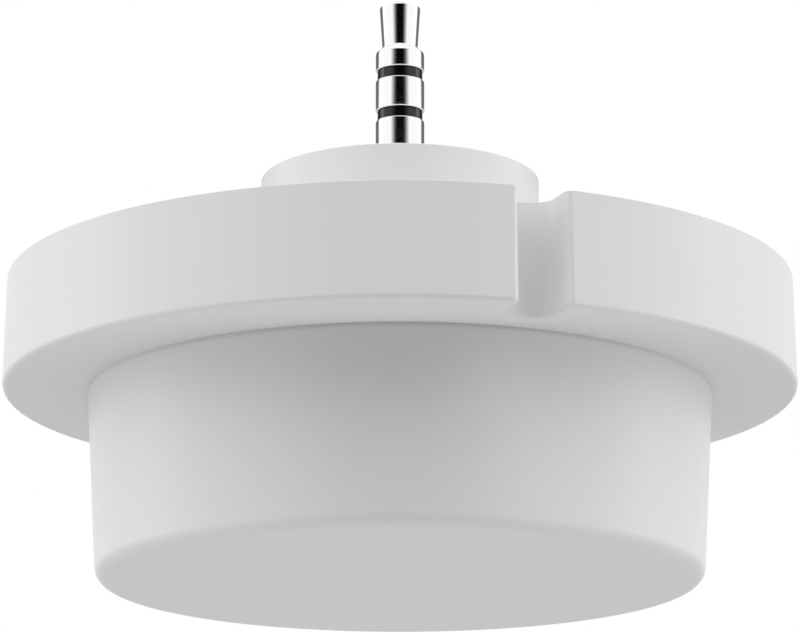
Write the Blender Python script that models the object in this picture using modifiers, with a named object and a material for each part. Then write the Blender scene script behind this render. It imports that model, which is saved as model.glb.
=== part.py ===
"""Microwave motion sensor head with a 3.5 mm three-contact plug, as an assembly of its separate pieces.

The origin is the centre of the front face. +Z runs along the plug, and the key notch faces -Y.
Lengths are in metres.
"""

import math

import bmesh
import bpy
from mathutils import Matrix, Vector

MM = 0.001

# Fits between the pieces
SEAT_GAP = 0.3 * MM
PLUG_GAP = 0.05 * MM
EMBED = 0.3 * MM

# Front shell: the drum that the waves pass through, and the flange round its open end
WALL = 1.8 * MM
FACE_WALL = 1.8 * MM
SKIRT_WALL = 1.5 * MM
DRUM_RADIUS = 22.0 * MM
DRUM_DEPTH = 13.4 * MM
DRUM_DRAFT = math.radians(3.2)
DRUM_EDGE_FILLET = 1.0 * MM
SHADOW_LINE_WIDTH = 0.25 * MM
SHADOW_LINE_DEPTH = 0.1 * MM
DRUM_INNER_FILLET = 0.6 * MM
FLANGE_OVERHANG = 6.0 * MM
FLANGE_HEIGHT = 7.8 * MM
FLANGE_DRAFT = math.radians(1.2)
FLANGE_RIM_FILLET = 0.1 * MM
COVER_THICKNESS = 2.0 * MM
SEAL_THICKNESS = 0.9 * MM
SEAL_WIDTH = 1.0 * MM
SEAL_LIP_WIDTH = 0.4 * MM
SEAL_LIP_HEIGHT = 0.5 * MM
RIB_COUNT = 12
RIB_THICKNESS = 1.0 * MM
RIB_CLEARANCE = 0.4 * MM

# Key notch in the flange
NOTCH_WIDTH = 3.5 * MM
NOTCH_DEPTH = 4.05 * MM
NOTCH_CORNER_FILLET = 0.5 * MM
NOTCH_CORNER_TURN = math.radians(75)
NOTCH_WALL = 1.5 * MM

# Rear cover with the boss that carries the plug
BOSS_RADIUS = 9.95 * MM
BOSS_HEIGHT = 8.0 * MM
BOSS_WALL = 1.8 * MM
BOSS_EDGE_FILLET = 0.25 * MM
BOSS_ROOT_FILLET = 0.5 * MM
COVER_RIB_WIDTH = 1.2 * MM
COVER_RIB_HEIGHT = 2.5 * MM
MOUNTING_SEAL_RADIUS = 17.0 * MM
MOUNTING_SEAL_WIDTH = 1.8 * MM
MOUNTING_SEAL_THICKNESS = 1.2 * MM
MOUNTING_GROOVE_DEPTH = 1.0 * MM

# Cover screws, countersunk
COVER_SCREW_COUNT = 3
COVER_SCREW_EDGE = 0.5 * MM
COVER_SCREW_HEAD_RADIUS = 1.6 * MM
COVER_SCREW_HEAD_HEIGHT = 1.0 * MM
COVER_SCREW_SHANK_RADIUS = 0.85 * MM
SCREW_BOSS_WALL = 0.7 * MM

# Plug: heights are measured from the top of the boss
PLUG_RADIUS = 1.75 * MM
PLUG_REACH = 13.45 * MM
TIP_LENGTH = 5.1 * MM
TIP_NOSE_RADIUS = 0.8 * MM
TIP_FLARE_RADIUS = 1.47 * MM
TIP_FLARE_DROP = 0.25 * MM
TIP_FLARE_FILLET = 0.15 * MM
TIP_WAIST_RADIUS = 1.27 * MM
TIP_WAIST_DROP = 3.33 * MM
TIP_SHOULDER_DROP = 3.74 * MM
TIP_SHOULDER_FILLET = 0.3 * MM
BAND_LENGTH = 0.75 * MM
BAND_RELIEF = 0.19 * MM
RING_LENGTH = 2.28 * MM
CONTACT_CHAMFER = 0.1 * MM
TIP_ROD_RADIUS = 0.4 * MM
TIP_TUBE_WALL = 0.2 * MM
RING_TUBE_WALL = 0.2 * MM
RING_INSULATOR_WALL = 0.2 * MM
COLLAR_RADIUS = 3.0 * MM
COLLAR_THICKNESS = 1.6 * MM
SHANK_RADIUS = 1.9 * MM
SOLDER_LENGTH = 1.6 * MM
INSULATOR_STEP = 0.7 * MM

# Plug retainer inside the boss
RETAINER_EDGE_GAP = 0.5 * MM
RETAINER_THICKNESS = 1.4 * MM
RETAINER_HUB_HEIGHT = 0.5 * MM
SOCKET_WALL = 1.1 * MM
SOCKET_DEPTH = 2.4 * MM
RETAINER_SCREW_EDGE = 1.0 * MM
RETAINER_SCREW_HEAD_RADIUS = 1.2 * MM
RETAINER_SCREW_HEAD_HEIGHT = 0.9 * MM
RETAINER_SCREW_SHANK_RADIUS = 0.6 * MM
RETAINER_SCREW_LENGTH = 3.2 * MM
RETAINER_POST_WALL = 0.9 * MM

# Boards, with the screws and spacers that stack them on the drum's posts
BOARD_EDGE_GAP = 0.6 * MM
BOARD_THICKNESS = 1.0 * MM
ANTENNA_GAP = 3.2 * MM
COMPONENT_ROOM = 7.0 * MM
SPACER_WALL = 0.8 * MM
BOARD_SCREW_COUNT = 3
BOARD_SCREW_EDGE = 2.8 * MM
BOARD_SCREW_HEAD_RADIUS = 1.7 * MM
BOARD_SCREW_HEAD_HEIGHT = 1.2 * MM
BOARD_SCREW_SHANK_RADIUS = 0.8 * MM
POST_WALL = 0.9 * MM
PILOT_MARGIN = 0.4 * MM

# Antenna: two square patches, one that sends and one that receives, each with its feed line
PATCH_SIDE = 11.0 * MM
PATCH_SPACING = 14.4 * MM
PATCH_RELIEF = 0.15 * MM
FEED_WIDTH = 1.2 * MM
FEED_LENGTH = 4.0 * MM

# Shield can and header
SHIELD_CAN_SIDE = 15.0 * MM
SHIELD_CAN_HEIGHT = 2.2 * MM
SHIELD_CAN_BEVEL = 0.3 * MM
HEADER_PITCH = 2.54 * MM
HEADER_PIN_COUNT = 4
HEADER_EDGE = 5.0 * MM
HEADER_BODY_DEPTH = 2.5 * MM
HEADER_BODY_HEIGHT = 2.0 * MM
HEADER_PIN_SIDE = 0.64 * MM
HEADER_PIN_OVERHANG = 0.9 * MM

# Connector and leads
CONNECTOR_WIDTH = 8.4 * MM
CONNECTOR_DEPTH = 5.6 * MM
CONNECTOR_HEIGHT = 3.6 * MM
CONNECTOR_MARGIN = 0.5 * MM
CONNECTOR_BORE_DEPTH = 1.8 * MM
LEAD_PITCH = 2.5 * MM
LEAD_DIAMETER = 1.0 * MM
LEAD_RUN_HEIGHT = 2.0 * MM
LEAD_BEND_RADIUS = 2.4 * MM
SLEEVE_LEAD_ANGLE = math.radians(150)
TIP_LEAD_ANGLE = math.radians(90)
RING_LEAD_ANGLE = math.radians(30)

# Components on the control board, each with the place of its middle
MICROCONTROLLER_SIDE = 6.0 * MM
MICROCONTROLLER_HEIGHT = 1.0 * MM
MICROCONTROLLER_X = 6.0 * MM
MICROCONTROLLER_Y = -3.0 * MM
AMPLIFIER_LENGTH = 5.0 * MM
AMPLIFIER_WIDTH = 3.9 * MM
AMPLIFIER_HEIGHT = 1.5 * MM
AMPLIFIER_X = -6.0 * MM
AMPLIFIER_Y = -3.0 * MM
AMPLIFIER_LEGS_A_SIDE = 4
AMPLIFIER_LEG_PITCH = 1.27 * MM
AMPLIFIER_LEG_WIDTH = 0.4 * MM
AMPLIFIER_LEG_LENGTH = 1.0 * MM
AMPLIFIER_LEG_THICKNESS = 0.25 * MM
REGULATOR_LENGTH = 4.5 * MM
REGULATOR_WIDTH = 2.5 * MM
REGULATOR_HEIGHT = 1.5 * MM
REGULATOR_Y = -7.4 * MM
CRYSTAL_LENGTH = 5.0 * MM
CRYSTAL_WIDTH = 3.2 * MM
CRYSTAL_HEIGHT = 1.1 * MM
CRYSTAL_X = 6.6 * MM
CRYSTAL_Y = 2.6 * MM
INDUCTOR_RADIUS = 2.5 * MM
INDUCTOR_HEIGHT = 3.0 * MM
INDUCTOR_FLANGE = 0.7 * MM
INDUCTOR_WINDING_DEPTH = 0.5 * MM
INDUCTOR_X = 8.6 * MM
INDUCTOR_Y = 7.6 * MM
CAPACITOR_RADIUS = 3.15 * MM
CAPACITOR_HEIGHT = 5.6 * MM
CAPACITOR_X = -9.0 * MM
CAPACITOR_Y = 5.6 * MM
CAPACITOR_EDGE_FILLET = 0.4 * MM
CAPACITOR_NECK_HEIGHT = 1.2 * MM
CAPACITOR_NECK_DEPTH = 0.25 * MM
COMPONENT_BEVEL = 0.15 * MM

# Screw heads: the cross slot and the rounded edge as shares of the head's radius or height
SLOT_LENGTH_SHARE = 1.1
SLOT_WIDTH_SHARE = 0.25
SLOT_DEPTH_SHARE = 0.5
HEAD_EDGE_SHARE = 0.33

# Facets
SHELL_STEPS = 60
BOARD_STEPS = 48
PLUG_STEPS = 24
SMALL_STEPS = 12
ARC_STEPS = 3
BEVEL_STEPS = 2
MERGE = 0.001 * MM
CREASE = math.radians(32)
THROUGH = 1.0 * MM

# Levels over the front face
FLANGE_TOP = DRUM_DEPTH + FLANGE_HEIGHT
FLANGE_FLOOR = DRUM_DEPTH + WALL
COVER_UNDERSIDE = FLANGE_TOP - COVER_THICKNESS
SCREW_BOSS_TOP = COVER_UNDERSIDE - SEAT_GAP
SEAL_SEAT = COVER_UNDERSIDE - 2 * SEAT_GAP - SEAL_THICKNESS
COVER_SCREW_LENGTH = FLANGE_HEIGHT - WALL - PILOT_MARGIN
BOSS_TOP = FLANGE_TOP + BOSS_HEIGHT
BOSS_CEILING = BOSS_TOP - BOSS_WALL
SOCKET_END = BOSS_CEILING - SOCKET_DEPTH
RETAINER_TOP = SOCKET_END - SEAT_GAP
RETAINER_UNDERSIDE = RETAINER_TOP - RETAINER_THICKNESS
POST_TOP = FACE_WALL + ANTENNA_GAP - SEAT_GAP
ANTENNA_BOARD_LEVEL = POST_TOP + SEAT_GAP
ANTENNA_BOARD_TOP = ANTENNA_BOARD_LEVEL + BOARD_THICKNESS
BOARD_SCREW_END = FACE_WALL + 2 * PILOT_MARGIN
CONTROL_BOARD_TOP = COVER_UNDERSIDE - COMPONENT_ROOM
CONTROL_BOARD_LEVEL = CONTROL_BOARD_TOP - BOARD_THICKNESS
COMPONENT_LEVEL = CONTROL_BOARD_TOP + SEAT_GAP
LEAD_LEVEL = COMPONENT_LEVEL + LEAD_RUN_HEIGHT

# Radii that follow from the sizes above
FLANGE_RADIUS = DRUM_RADIUS + FLANGE_OVERHANG
RIM_RADIUS = FLANGE_RADIUS - FLANGE_HEIGHT * math.tan(FLANGE_DRAFT)
SKIRT_INNER_RADIUS = RIM_RADIUS - SKIRT_WALL
COVER_RADIUS = SKIRT_INNER_RADIUS - SEAT_GAP
COVER_SCREW_CIRCLE = COVER_RADIUS - COVER_SCREW_EDGE - SEAT_GAP - COVER_SCREW_HEAD_RADIUS
COLLAR_OUTER_RADIUS = DRUM_RADIUS
COLLAR_INNER_RADIUS = DRUM_RADIUS - WALL
SEAL_LIP_INNER_RADIUS = COLLAR_OUTER_RADIUS - SEAL_LIP_WIDTH
SEAL_OUTER_RADIUS = SEAL_LIP_INNER_RADIUS - SEAT_GAP
COVER_RIB_RADIUS = COLLAR_INNER_RADIUS - SEAT_GAP
BOSS_INNER_RADIUS = BOSS_RADIUS - BOSS_WALL
PLUG_HOLE_RADIUS = PLUG_RADIUS + SEAT_GAP
SOCKET_RADIUS = COLLAR_RADIUS + SEAT_GAP
RETAINER_RADIUS = BOSS_INNER_RADIUS - RETAINER_EDGE_GAP
RETAINER_SCREW_CIRCLE = RETAINER_RADIUS - RETAINER_SCREW_EDGE
DRUM_TAPER_AT_BOARD = (DRUM_DEPTH - ANTENNA_BOARD_LEVEL) * math.tan(DRUM_DRAFT)
BOARD_RADIUS = DRUM_RADIUS - DRUM_TAPER_AT_BOARD - WALL - BOARD_EDGE_GAP
BOARD_SCREW_CIRCLE = BOARD_RADIUS - BOARD_SCREW_EDGE
HEADER_OFFSET = BOARD_RADIUS - HEADER_EDGE
CONNECTOR_BACK = BOARD_SCREW_CIRCLE - BOARD_SCREW_HEAD_RADIUS - CONNECTOR_MARGIN
CONNECTOR_FRONT = CONNECTOR_BACK - CONNECTOR_DEPTH
NOTCH_HALF_WIDTH = NOTCH_WIDTH / 2
NOTCH_END_CENTRE = FLANGE_RADIUS - NOTCH_DEPTH + NOTCH_HALF_WIDTH
TIP_TUBE_INNER_RADIUS = TIP_ROD_RADIUS + PLUG_GAP
TIP_TUBE_RADIUS = TIP_TUBE_INNER_RADIUS + TIP_TUBE_WALL
RING_TUBE_INNER_RADIUS = TIP_TUBE_RADIUS + PLUG_GAP
RING_TUBE_RADIUS = RING_TUBE_INNER_RADIUS + RING_TUBE_WALL
RING_INSULATOR_INNER_RADIUS = RING_TUBE_RADIUS + PLUG_GAP
RING_INSULATOR_RADIUS = RING_INSULATOR_INNER_RADIUS + RING_INSULATOR_WALL
SLEEVE_INNER_RADIUS = RING_INSULATOR_RADIUS + PLUG_GAP
BAND_RADIUS = PLUG_RADIUS - BAND_RELIEF

# Heights on the plug, from the top of the boss
TIP_BASE = PLUG_REACH - TIP_LENGTH
RING_TOP = TIP_BASE - BAND_LENGTH
RING_BASE = RING_TOP - RING_LENGTH
SLEEVE_TOP = RING_BASE - BAND_LENGTH
COLLAR_TOP = BOSS_CEILING - BOSS_TOP - SEAT_GAP
COLLAR_BASE = COLLAR_TOP - COLLAR_THICKNESS
SHANK_END = RETAINER_UNDERSIDE - BOSS_TOP - SOLDER_LENGTH
RING_INSULATOR_END = SHANK_END - INSULATOR_STEP
RING_END = RING_INSULATOR_END - SOLDER_LENGTH
TIP_INSULATOR_END = RING_END - INSULATOR_STEP
TIP_END = TIP_INSULATOR_END - SOLDER_LENGTH

# Colours as linear RGB, roughness and metallic value
WHITE_PLASTIC = ((0.80, 0.80, 0.79), 0.38, 0.0)
BLACK_PLASTIC = ((0.03, 0.03, 0.03), 0.45, 0.0)
NYLON = ((0.72, 0.70, 0.64), 0.5, 0.0)
SILICONE = ((0.45, 0.45, 0.44), 0.7, 0.0)
PLATED_METAL = ((0.85, 0.85, 0.86), 0.12, 1.0)
ZINC_STEEL = ((0.62, 0.63, 0.65), 0.32, 1.0)
TINNED_STEEL = ((0.70, 0.70, 0.68), 0.28, 1.0)
ALUMINIUM = ((0.76, 0.76, 0.77), 0.3, 1.0)
FERRITE = ((0.09, 0.09, 0.10), 0.6, 0.0)
ANTENNA_LAMINATE = ((0.75, 0.73, 0.62), 0.5, 0.0)
GREEN_LAMINATE = ((0.02, 0.14, 0.05), 0.4, 0.0)
RED_SLEEVING = ((0.55, 0.03, 0.02), 0.5, 0.0)
YELLOW_SLEEVING = ((0.70, 0.50, 0.03), 0.5, 0.0)
BLACK_SLEEVING = ((0.02, 0.02, 0.02), 0.5, 0.0)


def clear_scene():
    for obj in list(bpy.data.objects):
        bpy.data.objects.remove(obj, do_unlink=True)


def new_collection(name):
    collection = bpy.data.collections.new(name)
    bpy.context.scene.collection.children.link(collection)
    return collection


clear_scene()
PIECES = new_collection("microwave_motion_sensor")
CUTTERS = new_collection("cutters")


def drum_radius(height):
    """Radius of the drum's outside at a height over its face."""
    return DRUM_RADIUS - (DRUM_DEPTH - height) * math.tan(DRUM_DRAFT)


def on_circle(radius, angle):
    return radius * math.cos(angle), radius * math.sin(angle)


def round_angles(count, offset=0.0):
    """Angles that share a circle evenly, counted from the notch."""
    return [-math.pi / 2 + offset + index * math.tau / count for index in range(count)]


def arc_through(before, corner, after, radius):
    """Points of the arc that rounds a corner between two straight runs."""
    to_before = (Vector(before) - Vector(corner)).normalized()
    to_after = (Vector(after) - Vector(corner)).normalized()
    half = to_before.angle(to_after) / 2
    centre = Vector(corner) + (to_before + to_after).normalized() * radius / math.sin(half)
    start = Vector(corner) + to_before * radius / math.tan(half) - centre
    end = Vector(corner) + to_after * radius / math.tan(half) - centre
    sweep = start.angle_signed(end)
    points = []
    for step in range(ARC_STEPS + 1):
        turn = Matrix.Rotation(-sweep * step / ARC_STEPS, 2)
        points.append(tuple(centre + turn @ start))
    return points


def rounded(corners):
    """A path through corners (across, up), with an arc at each that has a third value, its fillet."""
    points = []
    for index, corner in enumerate(corners):
        if len(corner) == 2:
            points.append(corner)
            continue
        before = corners[index - 1][:2]
        after = corners[(index + 1) % len(corners)][:2]
        points += arc_through(before, corner[:2], after, corner[2])
    return points


def add(obj, parent=None, collection=None):
    (collection or PIECES).objects.link(obj)
    obj.parent = parent
    return obj


def empty(name, height, parent=None):
    """A reference point that the pieces of one group hang on."""
    obj = add(bpy.data.objects.new(name, None), parent)
    obj.location.z = height
    return obj


def turned(name, profile, steps, closed=False, parent=None, collection=None):
    """A profile (radius, height) turned about the Z axis."""
    count = len(profile)
    edges = [(index, index + 1) for index in range(count - 1)]
    if closed:
        edges.append((count - 1, 0))
    mesh = bpy.data.meshes.new(name)
    mesh.from_pydata([(radius, 0.0, height) for radius, height in profile], edges, [])
    obj = add(bpy.data.objects.new(name, mesh), parent, collection)
    screw = obj.modifiers.new("turn", "SCREW")
    screw.steps = steps
    screw.render_steps = steps
    screw.use_merge_vertices = True
    screw.merge_threshold = MERGE
    return obj


def solid(name, bm, parent=None, collection=None):
    mesh = bpy.data.meshes.new(name)
    bm.to_mesh(mesh)
    bm.free()
    return add(bpy.data.objects.new(name, mesh), parent, collection)


def box(name, size, low_centre, parent=None, collection=None, angle=0.0):
    """A box of size (across, along, height), standing on the point low_centre."""
    bm = bmesh.new()
    centre = Vector(low_centre) + Vector((0.0, 0.0, size[2] / 2))
    place = Matrix.Translation(centre) @ Matrix.Diagonal((*size, 1.0))
    bmesh.ops.create_cube(bm, size=1.0, matrix=Matrix.Rotation(angle, 4, "Z") @ place)
    return solid(name, bm, parent, collection)


def cylinder(name, radius, bottom, top, centre=(0.0, 0.0), steps=SMALL_STEPS, parent=None,
             collection=None, top_radius=None):
    """A round bar or, with a top radius, a cone, between two heights."""
    bm = bmesh.new()
    place = Matrix.Translation((centre[0], centre[1], (bottom + top) / 2))
    bmesh.ops.create_cone(bm, cap_ends=True, segments=steps, radius1=radius,
                          radius2=radius if top_radius is None else top_radius,
                          depth=top - bottom, matrix=place)
    return solid(name, bm, parent, collection)


def as_mesh(curve_object):
    """Replace a curve object by the closed mesh that it draws."""
    bpy.context.view_layer.update()
    graph = bpy.context.evaluated_depsgraph_get()
    mesh = bpy.data.meshes.new_from_object(curve_object.evaluated_get(graph))
    bm = bmesh.new()
    bm.from_mesh(mesh)
    bmesh.ops.remove_doubles(bm, verts=bm.verts, dist=MERGE)
    bm.to_mesh(mesh)
    bm.free()
    name = curve_object.name
    collection = curve_object.users_collection[0]
    place = curve_object.matrix_world.copy()
    bpy.data.objects.remove(curve_object, do_unlink=True)
    obj = add(bpy.data.objects.new(name, mesh), None, collection)
    obj.matrix_world = place
    return obj


def extruded(name, outline, bottom, top, collection=None):
    """A flat outline (x, y) raised from one height to another."""
    curve = bpy.data.curves.new(name, "CURVE")
    curve.dimensions = "2D"
    curve.fill_mode = "BOTH"
    curve.extrude = (top - bottom) / 2
    spline = curve.splines.new("POLY")
    spline.points.add(len(outline) - 1)
    for point, (x, y) in zip(spline.points, outline):
        point.co = (x, y, 0.0, 1.0)
    spline.use_cyclic_u = True
    obj = add(bpy.data.objects.new(name, curve), None, collection)
    obj.location.z = (top + bottom) / 2
    return as_mesh(obj)


def combine(obj, tool, operation):
    """Join another shape to a piece, or cut it out; the other shape stays as a guide."""
    tool.hide_render = True
    tool.display_type = "WIRE"
    modifier = obj.modifiers.new(tool.name, "BOOLEAN")
    modifier.operation = operation
    modifier.object = tool
    return obj


def cut(obj, tool):
    return combine(obj, tool, "DIFFERENCE")


def join(obj, tool):
    return combine(obj, tool, "UNION")


def finish(obj, look):
    """Settle a piece's shape, give it its own material and shade it smooth between its edges."""
    colour, roughness, metallic = look
    material = bpy.data.materials.new(obj.name)
    material.use_nodes = True
    shader = material.node_tree.nodes["Principled BSDF"]
    shader.inputs["Base Color"].default_value = (*colour, 1.0)
    shader.inputs["Roughness"].default_value = roughness
    shader.inputs["Metallic"].default_value = metallic
    if obj.type == "MESH":
        bpy.context.view_layer.update()
        graph = bpy.context.evaluated_depsgraph_get()
        mesh = bpy.data.meshes.new_from_object(obj.evaluated_get(graph))
        obj.modifiers.clear()
        obj.data = mesh
        mesh.shade_smooth()
        mesh.set_sharp_from_angle(angle=CREASE)
    obj.data.name = obj.name
    obj.data.materials.clear()
    obj.data.materials.append(material)
    return obj


def copies(first, places):
    """Further objects on the same mesh, numbered after the first."""
    for number, place in enumerate(places, start=2):
        obj = bpy.data.objects.new(f"{first.name[:-1]}{number}", first.data)
        add(obj, first.parent)
        obj.location = place
        obj.rotation_euler = first.rotation_euler


def bevelled(obj, width=COMPONENT_BEVEL):
    bevel = obj.modifiers.new("edges", "BEVEL")
    bevel.width = width
    bevel.segments = BEVEL_STEPS
    return obj


def shell_profile():
    """Half section of the front shell, from the axis inside, over the rim and back to the axis."""
    inner_foot = drum_radius(FACE_WALL) - WALL
    neck = DRUM_RADIUS - SHADOW_LINE_DEPTH
    shoulder = DRUM_DEPTH - SHADOW_LINE_WIDTH
    return rounded([
        (0.0, FACE_WALL),
        (inner_foot, FACE_WALL, DRUM_INNER_FILLET),
        (COLLAR_INNER_RADIUS, DRUM_DEPTH),
        (COLLAR_INNER_RADIUS, SEAL_SEAT),
        (SEAL_LIP_INNER_RADIUS, SEAL_SEAT),
        (SEAL_LIP_INNER_RADIUS, SEAL_SEAT + SEAL_LIP_HEIGHT),
        (COLLAR_OUTER_RADIUS, SEAL_SEAT + SEAL_LIP_HEIGHT),
        (COLLAR_OUTER_RADIUS, FLANGE_FLOOR),
        (SKIRT_INNER_RADIUS, FLANGE_FLOOR),
        (SKIRT_INNER_RADIUS, FLANGE_TOP),
        (RIM_RADIUS, FLANGE_TOP),
        (FLANGE_RADIUS, DRUM_DEPTH, FLANGE_RIM_FILLET),
        (neck, DRUM_DEPTH),
        (neck, shoulder),
        (drum_radius(shoulder), shoulder),
        (drum_radius(0.0), 0.0, DRUM_EDGE_FILLET),
        (0.0, 0.0),
    ])


def notch_outline(half_width, rim, corner):
    """Plan of a slot with a round end, open past the rim, its mouth's corners flared by a fillet."""
    half_turn = 4 * ARC_STEPS
    end = [math.pi + math.pi * step / half_turn for step in range(half_turn + 1)]
    side = [on_circle(half_width, angle) for angle in end]
    outline = [(x, y + NOTCH_END_CENTRE) for x, y in side]
    mouth = math.sqrt(rim ** 2 - (half_width + corner) ** 2)
    flare = []
    for step in range(ARC_STEPS + 1):
        angle = NOTCH_CORNER_TURN * step / ARC_STEPS
        across = half_width + corner * (1 - math.cos(angle))
        flare.append((across, mouth - corner * (1 - math.sin(angle))))
    flare.append((flare[-1][0], rim + THROUGH))
    outline += flare
    outline += [(-x, y) for x, y in reversed(flare)]
    return [(x, -y) for x, y in outline]


def notch_levels():
    """Levels of the notch's cutter: height, flange radius, and how far the wall steps back for the fillet."""
    levels = [(DRUM_DEPTH - THROUGH, FLANGE_RADIUS, FLANGE_RIM_FILLET)]
    for step in range(ARC_STEPS, -1, -1):
        angle = math.pi / 2 * step / ARC_STEPS
        rise = FLANGE_RIM_FILLET * (1 - math.sin(angle))
        levels.append((DRUM_DEPTH + rise, FLANGE_RADIUS, FLANGE_RIM_FILLET * (1 - math.cos(angle))))
    levels.append((FLANGE_TOP + THROUGH, RIM_RADIUS, 0.0))
    return levels


def notch_cutter():
    """The slot as a loft, wider at the flange's underside where its edge is rounded."""
    bm = bmesh.new()
    loops = []
    for height, rim, back in notch_levels():
        corner = max(NOTCH_CORNER_FILLET - back, MERGE)
        outline = notch_outline(NOTCH_HALF_WIDTH + back, rim - back, corner)
        loops.append([bm.verts.new((x, y, height)) for x, y in outline])
    for lower, upper in zip(loops, loops[1:]):
        for index in range(len(lower)):
            after = (index + 1) % len(lower)
            bm.faces.new((lower[index], lower[after], upper[after], upper[index]))
    bm.faces.new(loops[0])
    bm.faces.new(loops[-1])
    bmesh.ops.recalc_face_normals(bm, faces=bm.faces)
    return solid("notch_cutter", bm, None, CUTTERS)


def add_shell_ribs(shell):
    """Radial ribs that tie the flange's skirt to the collar and carry the cover."""
    foot = COLLAR_OUTER_RADIUS - EMBED
    length = SKIRT_INNER_RADIUS + EMBED - foot
    bottom = FLANGE_FLOOR - EMBED
    size = (length, RIB_THICKNESS, SCREW_BOSS_TOP - RIB_CLEARANCE - bottom)
    for index, angle in enumerate(round_angles(RIB_COUNT)):
        rib = box(f"rib_{index + 1}", size, (foot + length / 2, 0.0, bottom), None, CUTTERS, angle)
        join(shell, rib)


def add_screw_bosses(shell):
    radius = COVER_SCREW_SHANK_RADIUS + SEAT_GAP + SCREW_BOSS_WALL
    for index, angle in enumerate(cover_screw_angles()):
        centre = on_circle(COVER_SCREW_CIRCLE, angle)
        boss = cylinder(f"screw_boss_{index + 1}", radius, FLANGE_FLOOR - EMBED, SCREW_BOSS_TOP, centre,
                        collection=CUTTERS)
        join(shell, boss)


def cover_screw_angles():
    """The screws stand evenly round the rim, with the notch midway between two of them."""
    return round_angles(COVER_SCREW_COUNT, math.pi / COVER_SCREW_COUNT)


def board_screw_angles():
    """The board screws stand evenly, with one of them opposite the notch."""
    return round_angles(BOARD_SCREW_COUNT, math.pi)


def add_notch_channel(shell):
    """The wall that closes the flange round the notch, up to the rim."""
    half_width = NOTCH_HALF_WIDTH + NOTCH_WALL
    outline = notch_outline(half_width, SKIRT_INNER_RADIUS, MERGE)
    channel = extruded("notch_channel", outline, FLANGE_FLOOR - EMBED, FLANGE_TOP, CUTTERS)
    join(shell, channel)


def add_board_posts(shell):
    radius = BOARD_SCREW_SHANK_RADIUS + SEAT_GAP + POST_WALL
    for index, angle in enumerate(board_screw_angles()):
        centre = on_circle(BOARD_SCREW_CIRCLE, angle)
        join(shell, cylinder(f"board_post_{index + 1}", radius, FACE_WALL - EMBED, POST_TOP, centre,
                             collection=CUTTERS))


def drill(obj, name, radius, bottom, top, circle, angles):
    """Round holes on a circle."""
    for index, angle in enumerate(angles):
        hole = cylinder(f"{name}_{index + 1}", radius, bottom, top, on_circle(circle, angle),
                        collection=CUTTERS)
        cut(obj, hole)


def cut_seal_seat(shell):
    """Clear the ledge of the cover's seal of what the bosses and the channel leave on it."""
    top = FLANGE_TOP + THROUGH
    profile = [
        (COLLAR_INNER_RADIUS - THROUGH, top),
        (SEAL_LIP_INNER_RADIUS, top),
        (SEAL_LIP_INNER_RADIUS, SEAL_SEAT),
        (COLLAR_INNER_RADIUS - THROUGH, SEAL_SEAT),
    ]
    cut(shell, turned("seal_seat", profile, SHELL_STEPS, closed=True, collection=CUTTERS))


def front_shell():
    shell = turned("front_shell", shell_profile(), SHELL_STEPS)
    add_shell_ribs(shell)
    add_screw_bosses(shell)
    add_notch_channel(shell)
    add_board_posts(shell)
    cut_seal_seat(shell)
    drill(shell, "cover_pilot", COVER_SCREW_SHANK_RADIUS + SEAT_GAP, FLANGE_FLOOR,
          SCREW_BOSS_TOP + THROUGH, COVER_SCREW_CIRCLE, cover_screw_angles())
    drill(shell, "board_pilot", BOARD_SCREW_SHANK_RADIUS + SEAT_GAP, BOARD_SCREW_END - PILOT_MARGIN,
          POST_TOP + THROUGH, BOARD_SCREW_CIRCLE, board_screw_angles())
    cut(shell, notch_cutter())
    finish(shell, WHITE_PLASTIC)


def cover_profile():
    """Half section of the rear cover, round the plug's hole, over the boss and the rim and back inside."""
    groove_inner = MOUNTING_SEAL_RADIUS - MOUNTING_SEAL_WIDTH / 2 - SEAT_GAP
    groove_outer = MOUNTING_SEAL_RADIUS + MOUNTING_SEAL_WIDTH / 2 + SEAT_GAP
    groove_floor = FLANGE_TOP - MOUNTING_GROOVE_DEPTH
    rib_end = COVER_UNDERSIDE - COVER_RIB_HEIGHT
    socket_outer = SOCKET_RADIUS + SOCKET_WALL
    return rounded([
        (PLUG_HOLE_RADIUS, BOSS_TOP),
        (BOSS_RADIUS, BOSS_TOP, BOSS_EDGE_FILLET),
        (BOSS_RADIUS, FLANGE_TOP, BOSS_ROOT_FILLET),
        (groove_inner, FLANGE_TOP),
        (groove_inner, groove_floor),
        (groove_outer, groove_floor),
        (groove_outer, FLANGE_TOP),
        (COVER_RADIUS, FLANGE_TOP),
        (COVER_RADIUS, COVER_UNDERSIDE),
        (COVER_RIB_RADIUS, COVER_UNDERSIDE),
        (COVER_RIB_RADIUS, rib_end),
        (COVER_RIB_RADIUS - COVER_RIB_WIDTH, rib_end),
        (COVER_RIB_RADIUS - COVER_RIB_WIDTH, COVER_UNDERSIDE),
        (BOSS_INNER_RADIUS, COVER_UNDERSIDE),
        (BOSS_INNER_RADIUS, BOSS_CEILING),
        (socket_outer, BOSS_CEILING),
        (socket_outer, SOCKET_END),
        (PLUG_HOLE_RADIUS, SOCKET_END),
    ])


def retainer_screw_angles():
    return [0.0, math.pi]


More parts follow.
